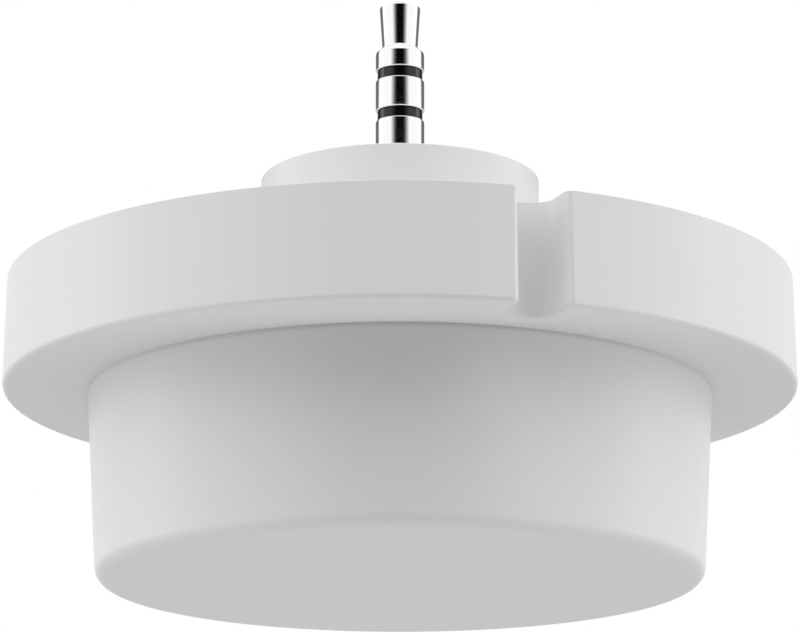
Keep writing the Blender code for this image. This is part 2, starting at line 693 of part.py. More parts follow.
def rear_cover():
    cover = turned("rear_cover", cover_profile(), SHELL_STEPS, closed=True)
    pilot_radius = RETAINER_SCREW_SHANK_RADIUS + SEAT_GAP
    for index, angle in enumerate(retainer_screw_angles()):
        centre = on_circle(RETAINER_SCREW_CIRCLE, angle)
        join(cover, cylinder(f"retainer_post_{index + 1}", pilot_radius + RETAINER_POST_WALL, SOCKET_END,
                             BOSS_CEILING + EMBED, centre, collection=CUTTERS))
    cut(cover, cylinder("socket_bore", SOCKET_RADIUS, SOCKET_END - THROUGH, BOSS_CEILING,
                        steps=PLUG_STEPS, collection=CUTTERS))
    drill(cover, "retainer_pilot", pilot_radius, SOCKET_END - THROUGH, retainer_screw_end() + PILOT_MARGIN,
          RETAINER_SCREW_CIRCLE, retainer_screw_angles())
    for index, angle in enumerate(cover_screw_angles()):
        cut(cover, countersunk_hole(f"cover_hole_{index + 1}", on_circle(COVER_SCREW_CIRCLE, angle)))
    half_width = NOTCH_HALF_WIDTH + NOTCH_WALL + SEAT_GAP
    outline = notch_outline(half_width, COVER_RADIUS, MERGE)
    cut(cover, extruded("cover_notch", outline, COVER_UNDERSIDE - THROUGH, FLANGE_TOP + THROUGH, CUTTERS))
    finish(cover, WHITE_PLASTIC)


def countersunk_hole(name, centre):
    """A hole with a cone that the screw's head lies in, a gap wider than the screw all round."""
    slope = (COVER_SCREW_HEAD_RADIUS - COVER_SCREW_SHANK_RADIUS) / COVER_SCREW_HEAD_HEIGHT
    hole = COVER_SCREW_SHANK_RADIUS + SEAT_GAP
    mouth = COVER_SCREW_HEAD_RADIUS + SEAT_GAP + slope * THROUGH
    bottom = COVER_UNDERSIDE - THROUGH
    profile = [
        (0.0, FLANGE_TOP + THROUGH),
        (mouth, FLANGE_TOP + THROUGH),
        (hole, FLANGE_TOP - COVER_SCREW_HEAD_HEIGHT),
        (hole, bottom),
        (0.0, bottom),
    ]
    obj = turned(name, profile, SMALL_STEPS, collection=CUTTERS)
    obj.location = (*centre, 0.0)
    return obj


def retainer_screw_end():
    """Height that the retainer screws reach inside the boss."""
    return RETAINER_UNDERSIDE - SEAT_GAP + RETAINER_SCREW_LENGTH


def ring_piece(name, inner, outer, bottom, top, steps, look):
    """A flat ring."""
    profile = [(inner, top), (outer, top), (outer, bottom), (inner, bottom)]
    return finish(turned(name, profile, steps, closed=True), look)


def seals():
    seal_bottom = SEAL_SEAT + SEAT_GAP
    ring_piece("cover_seal", SEAL_OUTER_RADIUS - SEAL_WIDTH, SEAL_OUTER_RADIUS, seal_bottom,
               seal_bottom + SEAL_THICKNESS, SHELL_STEPS, SILICONE)
    mounting_bottom = FLANGE_TOP - MOUNTING_GROOVE_DEPTH + SEAT_GAP
    ring_piece("mounting_seal", MOUNTING_SEAL_RADIUS - MOUNTING_SEAL_WIDTH / 2,
               MOUNTING_SEAL_RADIUS + MOUNTING_SEAL_WIDTH / 2, mounting_bottom,
               mounting_bottom + MOUNTING_SEAL_THICKNESS, SHELL_STEPS, SILICONE)


def screw(name, head_radius, head_height, shank_radius, length, countersunk):
    """A cross-slotted screw hanging down from the top of its head."""
    head = [(head_radius, 0.0)]
    if not countersunk:
        head = [(head_radius, 0.0, head_height * HEAD_EDGE_SHARE), (head_radius, -head_height)]
    profile = rounded([
        (0.0, 0.0),
        *head,
        (shank_radius, -head_height),
        (shank_radius, shank_radius - length),
        (shank_radius / 2, -length),
        (0.0, -length),
    ])
    obj = turned(name, profile, SMALL_STEPS)
    slot_length = head_radius * SLOT_LENGTH_SHARE
    slot_width = head_radius * SLOT_WIDTH_SHARE
    slot_depth = head_height * SLOT_DEPTH_SHARE
    for index, size in enumerate(((slot_length, slot_width), (slot_width, slot_length))):
        arm = box(f"{name}_slot_{index + 1}", (*size, slot_depth + THROUGH), (0.0, 0.0, -slot_depth),
                  None, CUTTERS)
        cut(obj, arm)
    return finish(obj, ZINC_STEEL)


def place_round(first, circle, angles, height):
    """Stand a piece and its copies on a circle."""
    places = [(*on_circle(circle, angle), height) for angle in angles]
    first.location = places[0]
    copies(first, places[1:])


def cover_screws():
    first = screw("cover_screw_1", COVER_SCREW_HEAD_RADIUS, COVER_SCREW_HEAD_HEIGHT,
                  COVER_SCREW_SHANK_RADIUS, COVER_SCREW_LENGTH, countersunk=True)
    place_round(first, COVER_SCREW_CIRCLE, cover_screw_angles(), FLANGE_TOP)


def plug_tip(plug):
    """The nose, waist and shoulder of the tip, with the rod that carries it through the plug."""
    profile = rounded([
        (0.0, PLUG_REACH),
        (TIP_NOSE_RADIUS, PLUG_REACH),
        (TIP_FLARE_RADIUS, PLUG_REACH - TIP_FLARE_DROP, TIP_FLARE_FILLET),
        (TIP_WAIST_RADIUS, PLUG_REACH - TIP_WAIST_DROP),
        (PLUG_RADIUS, PLUG_REACH - TIP_SHOULDER_DROP, TIP_SHOULDER_FILLET),
        (PLUG_RADIUS, TIP_BASE + CONTACT_CHAMFER),
        (PLUG_RADIUS - CONTACT_CHAMFER, TIP_BASE),
        (TIP_ROD_RADIUS, TIP_BASE),
        (TIP_ROD_RADIUS, TIP_END),
        (0.0, TIP_END),
    ])
    finish(turned("plug_tip", profile, PLUG_STEPS, parent=plug), PLATED_METAL)


def insulator(name, plug, inner, outer, band_top, end):
    """A flanged tube: the flange shows as the black band between two contacts."""
    band_bottom = band_top - BAND_LENGTH
    profile = [
        (inner, band_top - PLUG_GAP),
        (BAND_RADIUS, band_top - PLUG_GAP),
        (BAND_RADIUS, band_bottom + PLUG_GAP),
        (outer, band_bottom + PLUG_GAP),
        (outer, end),
        (inner, end),
    ]
    finish(turned(name, profile, PLUG_STEPS, closed=True, parent=plug), BLACK_PLASTIC)


def plug_ring(plug):
    profile = [
        (RING_TUBE_INNER_RADIUS, RING_TOP),
        (PLUG_RADIUS - CONTACT_CHAMFER, RING_TOP),
        (PLUG_RADIUS, RING_TOP - CONTACT_CHAMFER),
        (PLUG_RADIUS, RING_BASE + CONTACT_CHAMFER),
        (PLUG_RADIUS - CONTACT_CHAMFER, RING_BASE),
        (RING_TUBE_RADIUS, RING_BASE),
        (RING_TUBE_RADIUS, RING_END),
        (RING_TUBE_INNER_RADIUS, RING_END),
    ]
    finish(turned("plug_ring", profile, PLUG_STEPS, closed=True, parent=plug), PLATED_METAL)


def plug_sleeve(plug):
    """The sleeve contact, with the collar that the boss and the retainer hold between them."""
    profile = [
        (SLEEVE_INNER_RADIUS, SLEEVE_TOP),
        (PLUG_RADIUS - CONTACT_CHAMFER, SLEEVE_TOP),
        (PLUG_RADIUS, SLEEVE_TOP - CONTACT_CHAMFER),
        (PLUG_RADIUS, COLLAR_TOP),
        (COLLAR_RADIUS, COLLAR_TOP),
        (COLLAR_RADIUS, COLLAR_BASE),
        (SHANK_RADIUS, COLLAR_BASE),
        (SHANK_RADIUS, SHANK_END),
        (SLEEVE_INNER_RADIUS, SHANK_END),
    ]
    finish(turned("plug_sleeve", profile, PLUG_STEPS, closed=True, parent=plug), PLATED_METAL)


def plug_pieces(root):
    plug = empty("plug", BOSS_TOP, root)
    plug_tip(plug)
    plug_ring(plug)
    plug_sleeve(plug)
    insulator("tip_insulator", plug, TIP_TUBE_INNER_RADIUS, TIP_TUBE_RADIUS, TIP_BASE, TIP_INSULATOR_END)
    insulator("ring_insulator", plug, RING_INSULATOR_INNER_RADIUS, RING_INSULATOR_RADIUS, RING_BASE,
              RING_INSULATOR_END)


def plug_retainer():
    """The plate that presses the plug's collar up against the inside of the boss."""
    hole = SHANK_RADIUS + SEAT_GAP
    hub = SOCKET_RADIUS - SEAT_GAP
    profile = [
        (hole, RETAINER_TOP + RETAINER_HUB_HEIGHT),
        (hub, RETAINER_TOP + RETAINER_HUB_HEIGHT),
        (hub, RETAINER_TOP),
        (RETAINER_RADIUS, RETAINER_TOP),
        (RETAINER_RADIUS, RETAINER_UNDERSIDE),
        (hole, RETAINER_UNDERSIDE),
    ]
    retainer = turned("plug_retainer", profile, PLUG_STEPS, closed=True)
    drill(retainer, "retainer_hole", RETAINER_SCREW_SHANK_RADIUS + SEAT_GAP, RETAINER_UNDERSIDE - THROUGH,
          RETAINER_TOP + THROUGH, RETAINER_SCREW_CIRCLE, retainer_screw_angles())
    finish(retainer, NYLON)
    first = screw("retainer_screw_1", RETAINER_SCREW_HEAD_RADIUS, RETAINER_SCREW_HEAD_HEIGHT,
                  RETAINER_SCREW_SHANK_RADIUS, RETAINER_SCREW_LENGTH + RETAINER_SCREW_HEAD_HEIGHT,
                  countersunk=False)
    first.rotation_euler.x = math.pi
    place_round(first, RETAINER_SCREW_CIRCLE, retainer_screw_angles(),
                RETAINER_UNDERSIDE - SEAT_GAP - RETAINER_SCREW_HEAD_HEIGHT)


def board(name, level, relief=()):
    """A round board, with any relief on it, its screw holes and the holes of the header's pins."""
    obj = cylinder(name, BOARD_RADIUS, level, level + BOARD_THICKNESS, steps=BOARD_STEPS)
    for shape in relief:
        join(obj, shape)
    drill(obj, f"{name}_hole", BOARD_SCREW_SHANK_RADIUS + SEAT_GAP, level - THROUGH,
          level + BOARD_THICKNESS + THROUGH, BOARD_SCREW_CIRCLE, board_screw_angles())
    side = HEADER_PIN_SIDE + 2 * SEAT_GAP
    for index, x in enumerate(header_pin_places()):
        cut(obj, box(f"{name}_pin_hole_{index + 1}", (side, side, BOARD_THICKNESS + 2 * THROUGH),
                     (x, -HEADER_OFFSET, level - THROUGH), None, CUTTERS))
    return obj


def header_pin_places():
    half = (HEADER_PIN_COUNT - 1) / 2
    return [(index - half) * HEADER_PITCH for index in range(HEADER_PIN_COUNT)]


def antenna_relief():
    """The copper patches and their feed lines, raised a little from the board's lower side."""
    bottom = ANTENNA_BOARD_LEVEL - PATCH_RELIEF
    height = PATCH_RELIEF + EMBED
    patch_size = (PATCH_SIDE, PATCH_SIDE, height)
    feed_size = (FEED_WIDTH, FEED_LENGTH, height)
    feed_centre = (PATCH_SIDE + FEED_LENGTH) / 2 - EMBED
    shapes = []
    for index, side in enumerate((-1, 1)):
        x = side * PATCH_SPACING / 2
        shapes.append(box(f"patch_{index + 1}", patch_size, (x, 0.0, bottom), None, CUTTERS))
        shapes.append(box(f"feed_{index + 1}", feed_size, (x, feed_centre, bottom), None, CUTTERS))
    return shapes


def antenna_board():
    finish(board("antenna_board", ANTENNA_BOARD_LEVEL, antenna_relief()), ANTENNA_LAMINATE)
    size = (SHIELD_CAN_SIDE, SHIELD_CAN_SIDE, SHIELD_CAN_HEIGHT)
    can = box("rf_shield_can", size, (0.0, 0.0, ANTENNA_BOARD_TOP + SEAT_GAP))
    finish(bevelled(can, SHIELD_CAN_BEVEL), TINNED_STEEL)


def board_stack():
    """The control board on its spacers, and the long screws that hold both boards to the posts."""
    finish(board("control_board", CONTROL_BOARD_LEVEL), GREEN_LAMINATE)
    bore = BOARD_SCREW_SHANK_RADIUS + SEAT_GAP
    length = CONTROL_BOARD_LEVEL - ANTENNA_BOARD_TOP - 2 * SEAT_GAP
    profile = [(bore, length), (bore + SPACER_WALL, length), (bore + SPACER_WALL, 0.0), (bore, 0.0)]
    spacer = finish(turned("board_spacer_1", profile, SMALL_STEPS, closed=True), NYLON)
    place_round(spacer, BOARD_SCREW_CIRCLE, board_screw_angles(), ANTENNA_BOARD_TOP + SEAT_GAP)
    head_top = CONTROL_BOARD_TOP + SEAT_GAP + BOARD_SCREW_HEAD_HEIGHT
    first = screw("board_screw_1", BOARD_SCREW_HEAD_RADIUS, BOARD_SCREW_HEAD_HEIGHT,
                  BOARD_SCREW_SHANK_RADIUS, head_top - BOARD_SCREW_END, countersunk=False)
    place_round(first, BOARD_SCREW_CIRCLE, board_screw_angles(), head_top)


def header():
    """The pin header that joins the two boards."""
    level = ANTENNA_BOARD_TOP + SEAT_GAP
    size = (HEADER_PIN_COUNT * HEADER_PITCH, HEADER_BODY_DEPTH, HEADER_BODY_HEIGHT)
    body = box("header_body", size, (0.0, -HEADER_OFFSET, level))
    side = HEADER_PIN_SIDE + 2 * SEAT_GAP
    bottom = ANTENNA_BOARD_LEVEL - HEADER_PIN_OVERHANG
    top = CONTROL_BOARD_TOP + HEADER_PIN_OVERHANG
    pin_size = (HEADER_PIN_SIDE, HEADER_PIN_SIDE, top - bottom)
    places = [(x, -HEADER_OFFSET, bottom) for x in header_pin_places()]
    for index, (x, y, _) in enumerate(places):
        cut(body, box(f"header_bore_{index + 1}", (side, side, HEADER_BODY_HEIGHT + 2 * THROUGH),
                      (x, y, level - THROUGH), None, CUTTERS))
    finish(body, BLACK_PLASTIC)
    pin = finish(box("header_pin_1", pin_size, (0.0, 0.0, 0.0)), TINNED_STEEL)
    pin.location = places[0]
    copies(pin, places[1:])


def chip(name, size, centre, look):
    return finish(bevelled(box(name, size, (*centre, COMPONENT_LEVEL))), look)


def amplifier_chip():
    """A small package with four legs on either side."""
    size = (AMPLIFIER_LENGTH, AMPLIFIER_WIDTH, AMPLIFIER_HEIGHT)
    leg_size = (AMPLIFIER_LEG_WIDTH, AMPLIFIER_LEG_LENGTH, AMPLIFIER_LEG_THICKNESS)
    body = box("amplifier_chip", size, (AMPLIFIER_X, AMPLIFIER_Y, COMPONENT_LEVEL))
    reach = (AMPLIFIER_WIDTH + AMPLIFIER_LEG_LENGTH) / 2 - EMBED
    middle = (AMPLIFIER_LEGS_A_SIDE - 1) / 2
    for side in (-1, 1):
        for index in range(AMPLIFIER_LEGS_A_SIDE):
            x = AMPLIFIER_X + (index - middle) * AMPLIFIER_LEG_PITCH
            y = AMPLIFIER_Y + side * reach
            name = f"amplifier_leg_{index + 1}_{'front' if side < 0 else 'back'}"
            join(body, box(name, leg_size, (x, y, COMPONENT_LEVEL + EMBED), None, CUTTERS))
    finish(body, BLACK_PLASTIC)


def capacitor():
    """An electrolytic can: rounded top and the crimped neck over its base."""
    profile = rounded([
        (0.0, CAPACITOR_HEIGHT),
        (CAPACITOR_RADIUS, CAPACITOR_HEIGHT, CAPACITOR_EDGE_FILLET),
        (CAPACITOR_RADIUS, CAPACITOR_NECK_HEIGHT + CAPACITOR_NECK_DEPTH),
        (CAPACITOR_RADIUS - CAPACITOR_NECK_DEPTH, CAPACITOR_NECK_HEIGHT),
        (CAPACITOR_RADIUS, CAPACITOR_NECK_HEIGHT - CAPACITOR_NECK_DEPTH),
        (CAPACITOR_RADIUS, 0.0),
        (0.0, 0.0),
    ])
    obj = finish(turned("electrolytic_capacitor", profile, SMALL_STEPS), ALUMINIUM)
    obj.location = (CAPACITOR_X, CAPACITOR_Y, COMPONENT_LEVEL)


def inductor():
    """A ferrite bobbin with its winding between the two flanges."""
    waist = INDUCTOR_RADIUS - INDUCTOR_WINDING_DEPTH
    profile = [
        (0.0, INDUCTOR_HEIGHT),
        (INDUCTOR_RADIUS, INDUCTOR_HEIGHT),
        (INDUCTOR_RADIUS, INDUCTOR_HEIGHT - INDUCTOR_FLANGE),
        (waist, INDUCTOR_HEIGHT - INDUCTOR_FLANGE),
        (waist, INDUCTOR_FLANGE),
        (INDUCTOR_RADIUS, INDUCTOR_FLANGE),
        (INDUCTOR_RADIUS, 0.0),
        (0.0, 0.0),
    ]
    obj = finish(turned("inductor", profile, SMALL_STEPS), FERRITE)
    obj.location = (INDUCTOR_X, INDUCTOR_Y, COMPONENT_LEVEL)


def lead_connector():
    """The housing on the control board that the three leads run into."""
    middle = CONNECTOR_FRONT + CONNECTOR_DEPTH / 2
    outer_size = (CONNECTOR_WIDTH, CONNECTOR_DEPTH, CONNECTOR_HEIGHT)
    body = box("lead_connector", outer_size, (0.0, middle, COMPONENT_LEVEL))
    side = LEAD_DIAMETER + 2 * SEAT_GAP
    bore_size = (side, CONNECTOR_BORE_DEPTH + THROUGH, side)
    y = CONNECTOR_FRONT + (CONNECTOR_BORE_DEPTH - THROUGH) / 2
    for index, x in enumerate((-LEAD_PITCH, 0.0, LEAD_PITCH)):
        cut(body, box(f"lead_bore_{index + 1}", bore_size, (x, y, LEAD_LEVEL - side / 2), None, CUTTERS))
    finish(body, NYLON)


def smooth_route(points, spacing):
    """Points along a smooth curve through the given ones, about a spacing apart."""
    route = []
    ends = [2 * points[0] - points[1], *points, 2 * points[-1] - points[-2]]
    for before, start, end, after in zip(ends, ends[1:], ends[2:], ends[3:]):
        count = max(1, round((end - start).length / spacing))
        for step in range(count):
            t = step / count
            along = (end - before) * 0.5 * (t - 2 * t ** 2 + t ** 3)
            along += (after - start) * 0.5 * (t ** 3 - t ** 2)
            route.append(start * (1 - 3 * t ** 2 + 2 * t ** 3) + end * (3 * t ** 2 - 2 * t ** 3) + along)
    return route + [points[-1]]


def lead(name, contact_radius, angle, contact_height, connector_x, look):
    """An insulated lead, from beside its contact on the plug down and round into the connector."""
    x, y = on_circle(contact_radius + SEAT_GAP + LEAD_DIAMETER / 2, angle)
    slant = (connector_x - x) / (CONNECTOR_FRONT - y)
    points = [
        Vector((x, y, contact_height)),
        Vector((x, y, LEAD_LEVEL + LEAD_BEND_RADIUS)),
    ]
    for step in range(1, ARC_STEPS + 1):
        turn = math.pi / 2 * step / ARC_STEPS
        forward = LEAD_BEND_RADIUS * (1 - math.cos(turn))
        drop = LEAD_BEND_RADIUS * math.sin(turn)
        points.append(Vector((x + slant * forward, y + forward, LEAD_LEVEL + LEAD_BEND_RADIUS - drop)))
    inner_end = CONNECTOR_FRONT + CONNECTOR_BORE_DEPTH - SEAT_GAP
    points.append(Vector((connector_x, CONNECTOR_FRONT, LEAD_LEVEL)))
    points.append(Vector((connector_x, inner_end, LEAD_LEVEL)))
    route = smooth_route(points, LEAD_DIAMETER)
    curve = bpy.data.curves.new(name, "CURVE")
    curve.dimensions = "3D"
    curve.bevel_depth = LEAD_DIAMETER / 2
    curve.bevel_resolution = BEVEL_STEPS
    curve.use_fill_caps = True
    spline = curve.splines.new("POLY")
    spline.points.add(len(route) - 1)
    for point, place in zip(spline.points, route):
        point.co = (*place, 1.0)
    finish(add(bpy.data.objects.new(name, curve)), look)


def leads():
    above_end = BOSS_TOP + SOLDER_LENGTH - SEAT_GAP
    lead("sleeve_lead", SHANK_RADIUS, SLEEVE_LEAD_ANGLE, above_end + SHANK_END, -LEAD_PITCH, BLACK_SLEEVING)
    lead("tip_lead", TIP_ROD_RADIUS, TIP_LEAD_ANGLE, above_end + TIP_END, 0.0, RED_SLEEVING)
    lead("ring_lead", RING_TUBE_RADIUS, RING_LEAD_ANGLE, above_end + RING_END, LEAD_PITCH, YELLOW_SLEEVING)


def control_components():
    chip("microcontroller", (MICROCONTROLLER_SIDE, MICROCONTROLLER_SIDE, MICROCONTROLLER_HEIGHT),
         (MICROCONTROLLER_X, MICROCONTROLLER_Y), BLACK_PLASTIC)
    chip("voltage_regulator", (REGULATOR_LENGTH, REGULATOR_WIDTH, REGULATOR_HEIGHT), (0.0, REGULATOR_Y),
         BLACK_PLASTIC)
    chip("crystal", (CRYSTAL_LENGTH, CRYSTAL_WIDTH, CRYSTAL_HEIGHT), (CRYSTAL_X, CRYSTAL_Y), TINNED_STEEL)
    amplifier_chip()
    capacitor()
    inductor()


def build():
    root = empty("sensor", 0.0)
    front_shell()
    rear_cover()
    seals()
    cover_screws()
    plug_pieces(root)
    plug_retainer()
    antenna_board()
    board_stack()
    header()
    control_components()
    lead_connector()
    leads()
    for obj in PIECES.objects:
        if obj.parent is None and obj is not root:
            obj.parent = root


build()
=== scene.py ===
"""Studio scene of the microwave motion sensor head, seen from below and in front.

The visible mouldings, contacts, seal and screws are built finely here, in the frame's coordinates:
the origin is the centre of the front face, +Z runs along the plug, and the key notch faces -Y.
"""

import math

import bmesh
import bpy
from mathutils import Matrix, Vector

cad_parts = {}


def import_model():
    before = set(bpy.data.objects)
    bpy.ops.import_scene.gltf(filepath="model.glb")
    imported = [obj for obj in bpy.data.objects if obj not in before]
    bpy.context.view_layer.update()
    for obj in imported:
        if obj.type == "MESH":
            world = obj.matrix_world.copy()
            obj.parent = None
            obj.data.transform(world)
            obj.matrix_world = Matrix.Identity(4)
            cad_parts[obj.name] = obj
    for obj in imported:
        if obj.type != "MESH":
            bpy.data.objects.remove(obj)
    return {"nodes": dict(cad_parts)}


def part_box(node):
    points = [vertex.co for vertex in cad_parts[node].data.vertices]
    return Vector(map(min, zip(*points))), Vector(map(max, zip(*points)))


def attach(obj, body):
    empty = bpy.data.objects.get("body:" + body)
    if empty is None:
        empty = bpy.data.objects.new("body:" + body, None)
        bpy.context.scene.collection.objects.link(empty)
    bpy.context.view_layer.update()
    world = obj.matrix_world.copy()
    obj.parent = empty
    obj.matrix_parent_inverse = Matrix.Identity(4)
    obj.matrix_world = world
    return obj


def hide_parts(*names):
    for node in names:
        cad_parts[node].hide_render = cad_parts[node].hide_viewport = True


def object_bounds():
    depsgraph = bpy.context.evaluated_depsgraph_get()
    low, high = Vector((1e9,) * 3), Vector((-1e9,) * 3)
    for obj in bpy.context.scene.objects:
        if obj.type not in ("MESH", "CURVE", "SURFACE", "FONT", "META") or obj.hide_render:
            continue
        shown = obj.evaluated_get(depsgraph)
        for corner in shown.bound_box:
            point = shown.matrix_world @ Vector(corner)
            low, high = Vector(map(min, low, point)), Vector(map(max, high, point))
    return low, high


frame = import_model()
size_at_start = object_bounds()

MM = 0.001

# Levels and radii read from the frame
COVER_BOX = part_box("rear_cover")
COVER_SEAL_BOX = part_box("cover_seal")
MOUNTING_SEAL_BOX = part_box("mounting_seal")
PLUG_TIP_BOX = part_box("plug_tip")
SCREW_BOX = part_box("cover_screw_1")
FLANGE_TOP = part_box("front_shell")[1].z
COVER_RADIUS = COVER_BOX[1].x
BOSS_TOP = COVER_BOX[1].z
PLUG_TOP = PLUG_TIP_BOX[1].z
SCREW_TOP = SCREW_BOX[1].z
SCREW_BOTTOM = SCREW_BOX[0].z

# Gaps and walls
SEAT_GAP = 0.3 * MM
EMBED = 0.3 * MM
THROUGH = 1.0 * MM
MERGE = 0.001 * MM
WALL = 1.8 * MM
SKIRT_WALL = 1.5 * MM

# Front shell
DRUM_RADIUS = 22.0 * MM
DRUM_DEPTH = 13.4 * MM
DRUM_DRAFT = math.radians(3.2)
DRUM_EDGE_FILLET = 1.0 * MM
SHADOW_LINE_WIDTH = 0.25 * MM
SHADOW_LINE_DEPTH = 0.1 * MM
DRUM_INNER_FILLET = 0.6 * MM
FLANGE_RADIUS = 28.0 * MM
FLANGE_RIM_FILLET = 0.35 * MM
FLANGE_DRAFT = math.radians(1.2)
SEAL_LIP_WIDTH = 0.4 * MM
SEAL_LIP_HEIGHT = 0.5 * MM
RIB_COUNT = 12
RIB_THICKNESS = 1.0 * MM
RIB_CLEARANCE = 0.4 * MM

# Key notch: each side of its mouth flares out along one arc and ends in a smaller one
NOTCH_WIDTH = 3.25 * MM
NOTCH_DEPTH = 3.9 * MM
NOTCH_WALL = 1.5 * MM
NOTCH_FLARE_FILLET = 0.7 * MM
NOTCH_FLARE_TURN = math.radians(55)
NOTCH_CORNER_FILLET = 0.3 * MM
NOTCH_CORNER_TURN = math.radians(78)
LEAST_CORNER = 0.05 * MM

# Rear cover and boss
BOSS_RADIUS = 9.95 * MM
BOSS_EDGE_FILLET = 0.1 * MM
BOSS_ROOT_FILLET = 0.5 * MM
COVER_THICKNESS = 2.0 * MM
COVER_RIB_WIDTH = 1.2 * MM
COVER_RIB_HEIGHT = 2.5 * MM
SOCKET_RADIUS = 3.3 * MM
SOCKET_WALL = 1.1 * MM
SOCKET_DEPTH = 2.4 * MM
RETAINER_SCREW_COUNT = 2
RETAINER_POST_CIRCLE = 6.65 * MM
RETAINER_POST_RADIUS = 1.8 * MM
RETAINER_PILOT_RADIUS = 0.9 * MM
RETAINER_PILOT_DEPTH = 1.6 * MM
SEAL_GROOVE_DEPTH = 1.0 * MM
MOUNTING_SEAL_WIDTH = 1.8 * MM
SEAL_EDGE_FILLET = 0.35 * MM

# Screws of the cover, board posts and header
COVER_SCREW_COUNT = 3
COVER_SCREW_CIRCLE = 23.64 * MM
COVER_SCREW_HEAD_RADIUS = 1.6 * MM
COVER_SCREW_HEAD_HEIGHT = 1.0 * MM
COVER_SCREW_SHANK_RADIUS = 0.85 * MM
SCREW_SLOT_LENGTH = 1.8 * MM
SCREW_SLOT_WIDTH = 0.4 * MM
SCREW_SLOT_DEPTH = 0.5 * MM
SCREW_BOSS_WALL = 0.7 * MM
BOARD_POST_COUNT = 3
BOARD_POST_CIRCLE = 16.33 * MM
BOARD_POST_RADIUS = 2.0 * MM
BOARD_POST_TOP = 4.7 * MM
BOARD_PILOT_RADIUS = 1.1 * MM
BOARD_PILOT_BOTTOM = 2.2 * MM
HEADER_PIN_COUNT = 4

# Plug, from its nose down
PLUG_RADIUS = 1.75 * MM
TIP_LENGTH = 5.1 * MM
TIP_NOSE_RADIUS = 0.8 * MM
TIP_FLARE_RADIUS = 1.47 * MM
TIP_FLARE_DROP = 0.25 * MM
TIP_FLARE_FILLET = 0.15 * MM
TIP_WAIST_RADIUS = 1.27 * MM
TIP_WAIST_DROP = 3.33 * MM
TIP_NOSE_FILLET = 0.06 * MM
TIP_WAIST_FILLET = 0.12 * MM
TIP_SHOULDER_DROP = 3.74 * MM
TIP_SHOULDER_FILLET = 0.3 * MM
BAND_LENGTH = 0.75 * MM
BAND_RELIEF = 0.13 * MM
BAND_GAP = 0.05 * MM
RING_LENGTH = 2.28 * MM
CONTACT_EDGE_FILLET = 0.1 * MM
COLLAR_RADIUS = 3.0 * MM
COLLAR_THICKNESS = 1.6 * MM
SHANK_RADIUS = 1.9 * MM
TIP_ROD_RADIUS = 0.4 * MM
TIP_TUBE_RADII = (0.45 * MM, 0.65 * MM)
RING_TUBE_RADII = (0.7 * MM, 0.9 * MM)
RING_INSULATOR_RADII = (0.95 * MM, 1.15 * MM)
SLEEVE_INNER_RADIUS = 1.2 * MM

# Fineness of the pieces
ROUND_STEPS = 240
PLUG_STEPS = 96
SMALL_STEPS = 48
ARC_STEPS = 10
CORNER_STEPS = 3
NOTCH_END_STEPS = 40
CREASE = math.radians(28)

# Levels that follow
FLANGE_FLOOR = DRUM_DEPTH + WALL
NECK_RADIUS = DRUM_RADIUS - SHADOW_LINE_DEPTH
DRUM_SHOULDER = DRUM_DEPTH - SHADOW_LINE_WIDTH
COVER_UNDERSIDE = FLANGE_TOP - COVER_THICKNESS
SCREW_BOSS_TOP = COVER_UNDERSIDE - SEAT_GAP
SEAL_SEAT = COVER_SEAL_BOX[0].z - SEAT_GAP
RIM_RADIUS = FLANGE_RADIUS - (FLANGE_TOP - DRUM_DEPTH) * math.tan(FLANGE_DRAFT)
SKIRT_INNER_RADIUS = RIM_RADIUS - SKIRT_WALL
COLLAR_INNER_RADIUS = DRUM_RADIUS - WALL
SEAL_LIP_INNER_RADIUS = DRUM_RADIUS - SEAL_LIP_WIDTH
BOSS_INNER_RADIUS = BOSS_RADIUS - WALL
BOSS_CEILING = BOSS_TOP - WALL
SOCKET_END = BOSS_CEILING - SOCKET_DEPTH
PLUG_HOLE_RADIUS = PLUG_RADIUS + SEAT_GAP
NOTCH_HALF_WIDTH = NOTCH_WIDTH / 2
NOTCH_END_CENTRE = FLANGE_RADIUS - NOTCH_DEPTH + NOTCH_HALF_WIDTH
MOUNTING_SEAL_OUTER_RADIUS = MOUNTING_SEAL_BOX[1].x
MOUNTING_SEAL_INNER_RADIUS = MOUNTING_SEAL_OUTER_RADIUS - MOUNTING_SEAL_WIDTH
BAND_RADIUS = PLUG_RADIUS - BAND_RELIEF
COLLAR_TOP = BOSS_CEILING - SEAT_GAP
TIP_BASE = PLUG_TOP - TIP_LENGTH
RING_TOP = TIP_BASE - BAND_LENGTH
RING_BASE = RING_TOP - RING_LENGTH
SLEEVE_TOP = RING_BASE - BAND_LENGTH

# Camera: it stands below and in front, a little to the left of the notch, and looks up
CAMERA_ANGLE = math.radians(-109.35)
CAMERA_DISTANCE = 249.1 * MM
CAMERA_HEIGHT = -43.93 * MM
CAMERA_PITCH = math.radians(14.254)
PHOTO_WIDTH = 800
FOCAL_PIXELS = 3613
SENSOR_WIDTH = 36.0
CLIP_START = 10 * MM

# Light that the studio sends from below, from the sides and from above, each in even steps from behind
# the object round to the camera's side; 1 is white. The zones meet over these ranges of height.
LIGHT_BELOW = (0.5, 0.0, 1.8, 0.25, 0.0)
LIGHT_BESIDE = (0.5, 0.5, 1.3, 1.6, 0.2, 0.3, 0.5)
LIGHT_ABOVE = (0.5, 0.5, 1.2, 2.2, 0.0)
LIGHT_PEAK = 2.2
BELOW_END = (-0.6, -0.2)
ABOVE_START = (0.1, 0.5)

# Soft lamps on either side
LAMP_TURN = math.radians(100)
LAMP_RISE = math.radians(10)
LAMP_LEVEL = 1.1
LAMP_DISTANCE = 1.0
LAMP_WIDTH = 0.25
LAMP_HEIGHT = 0.8

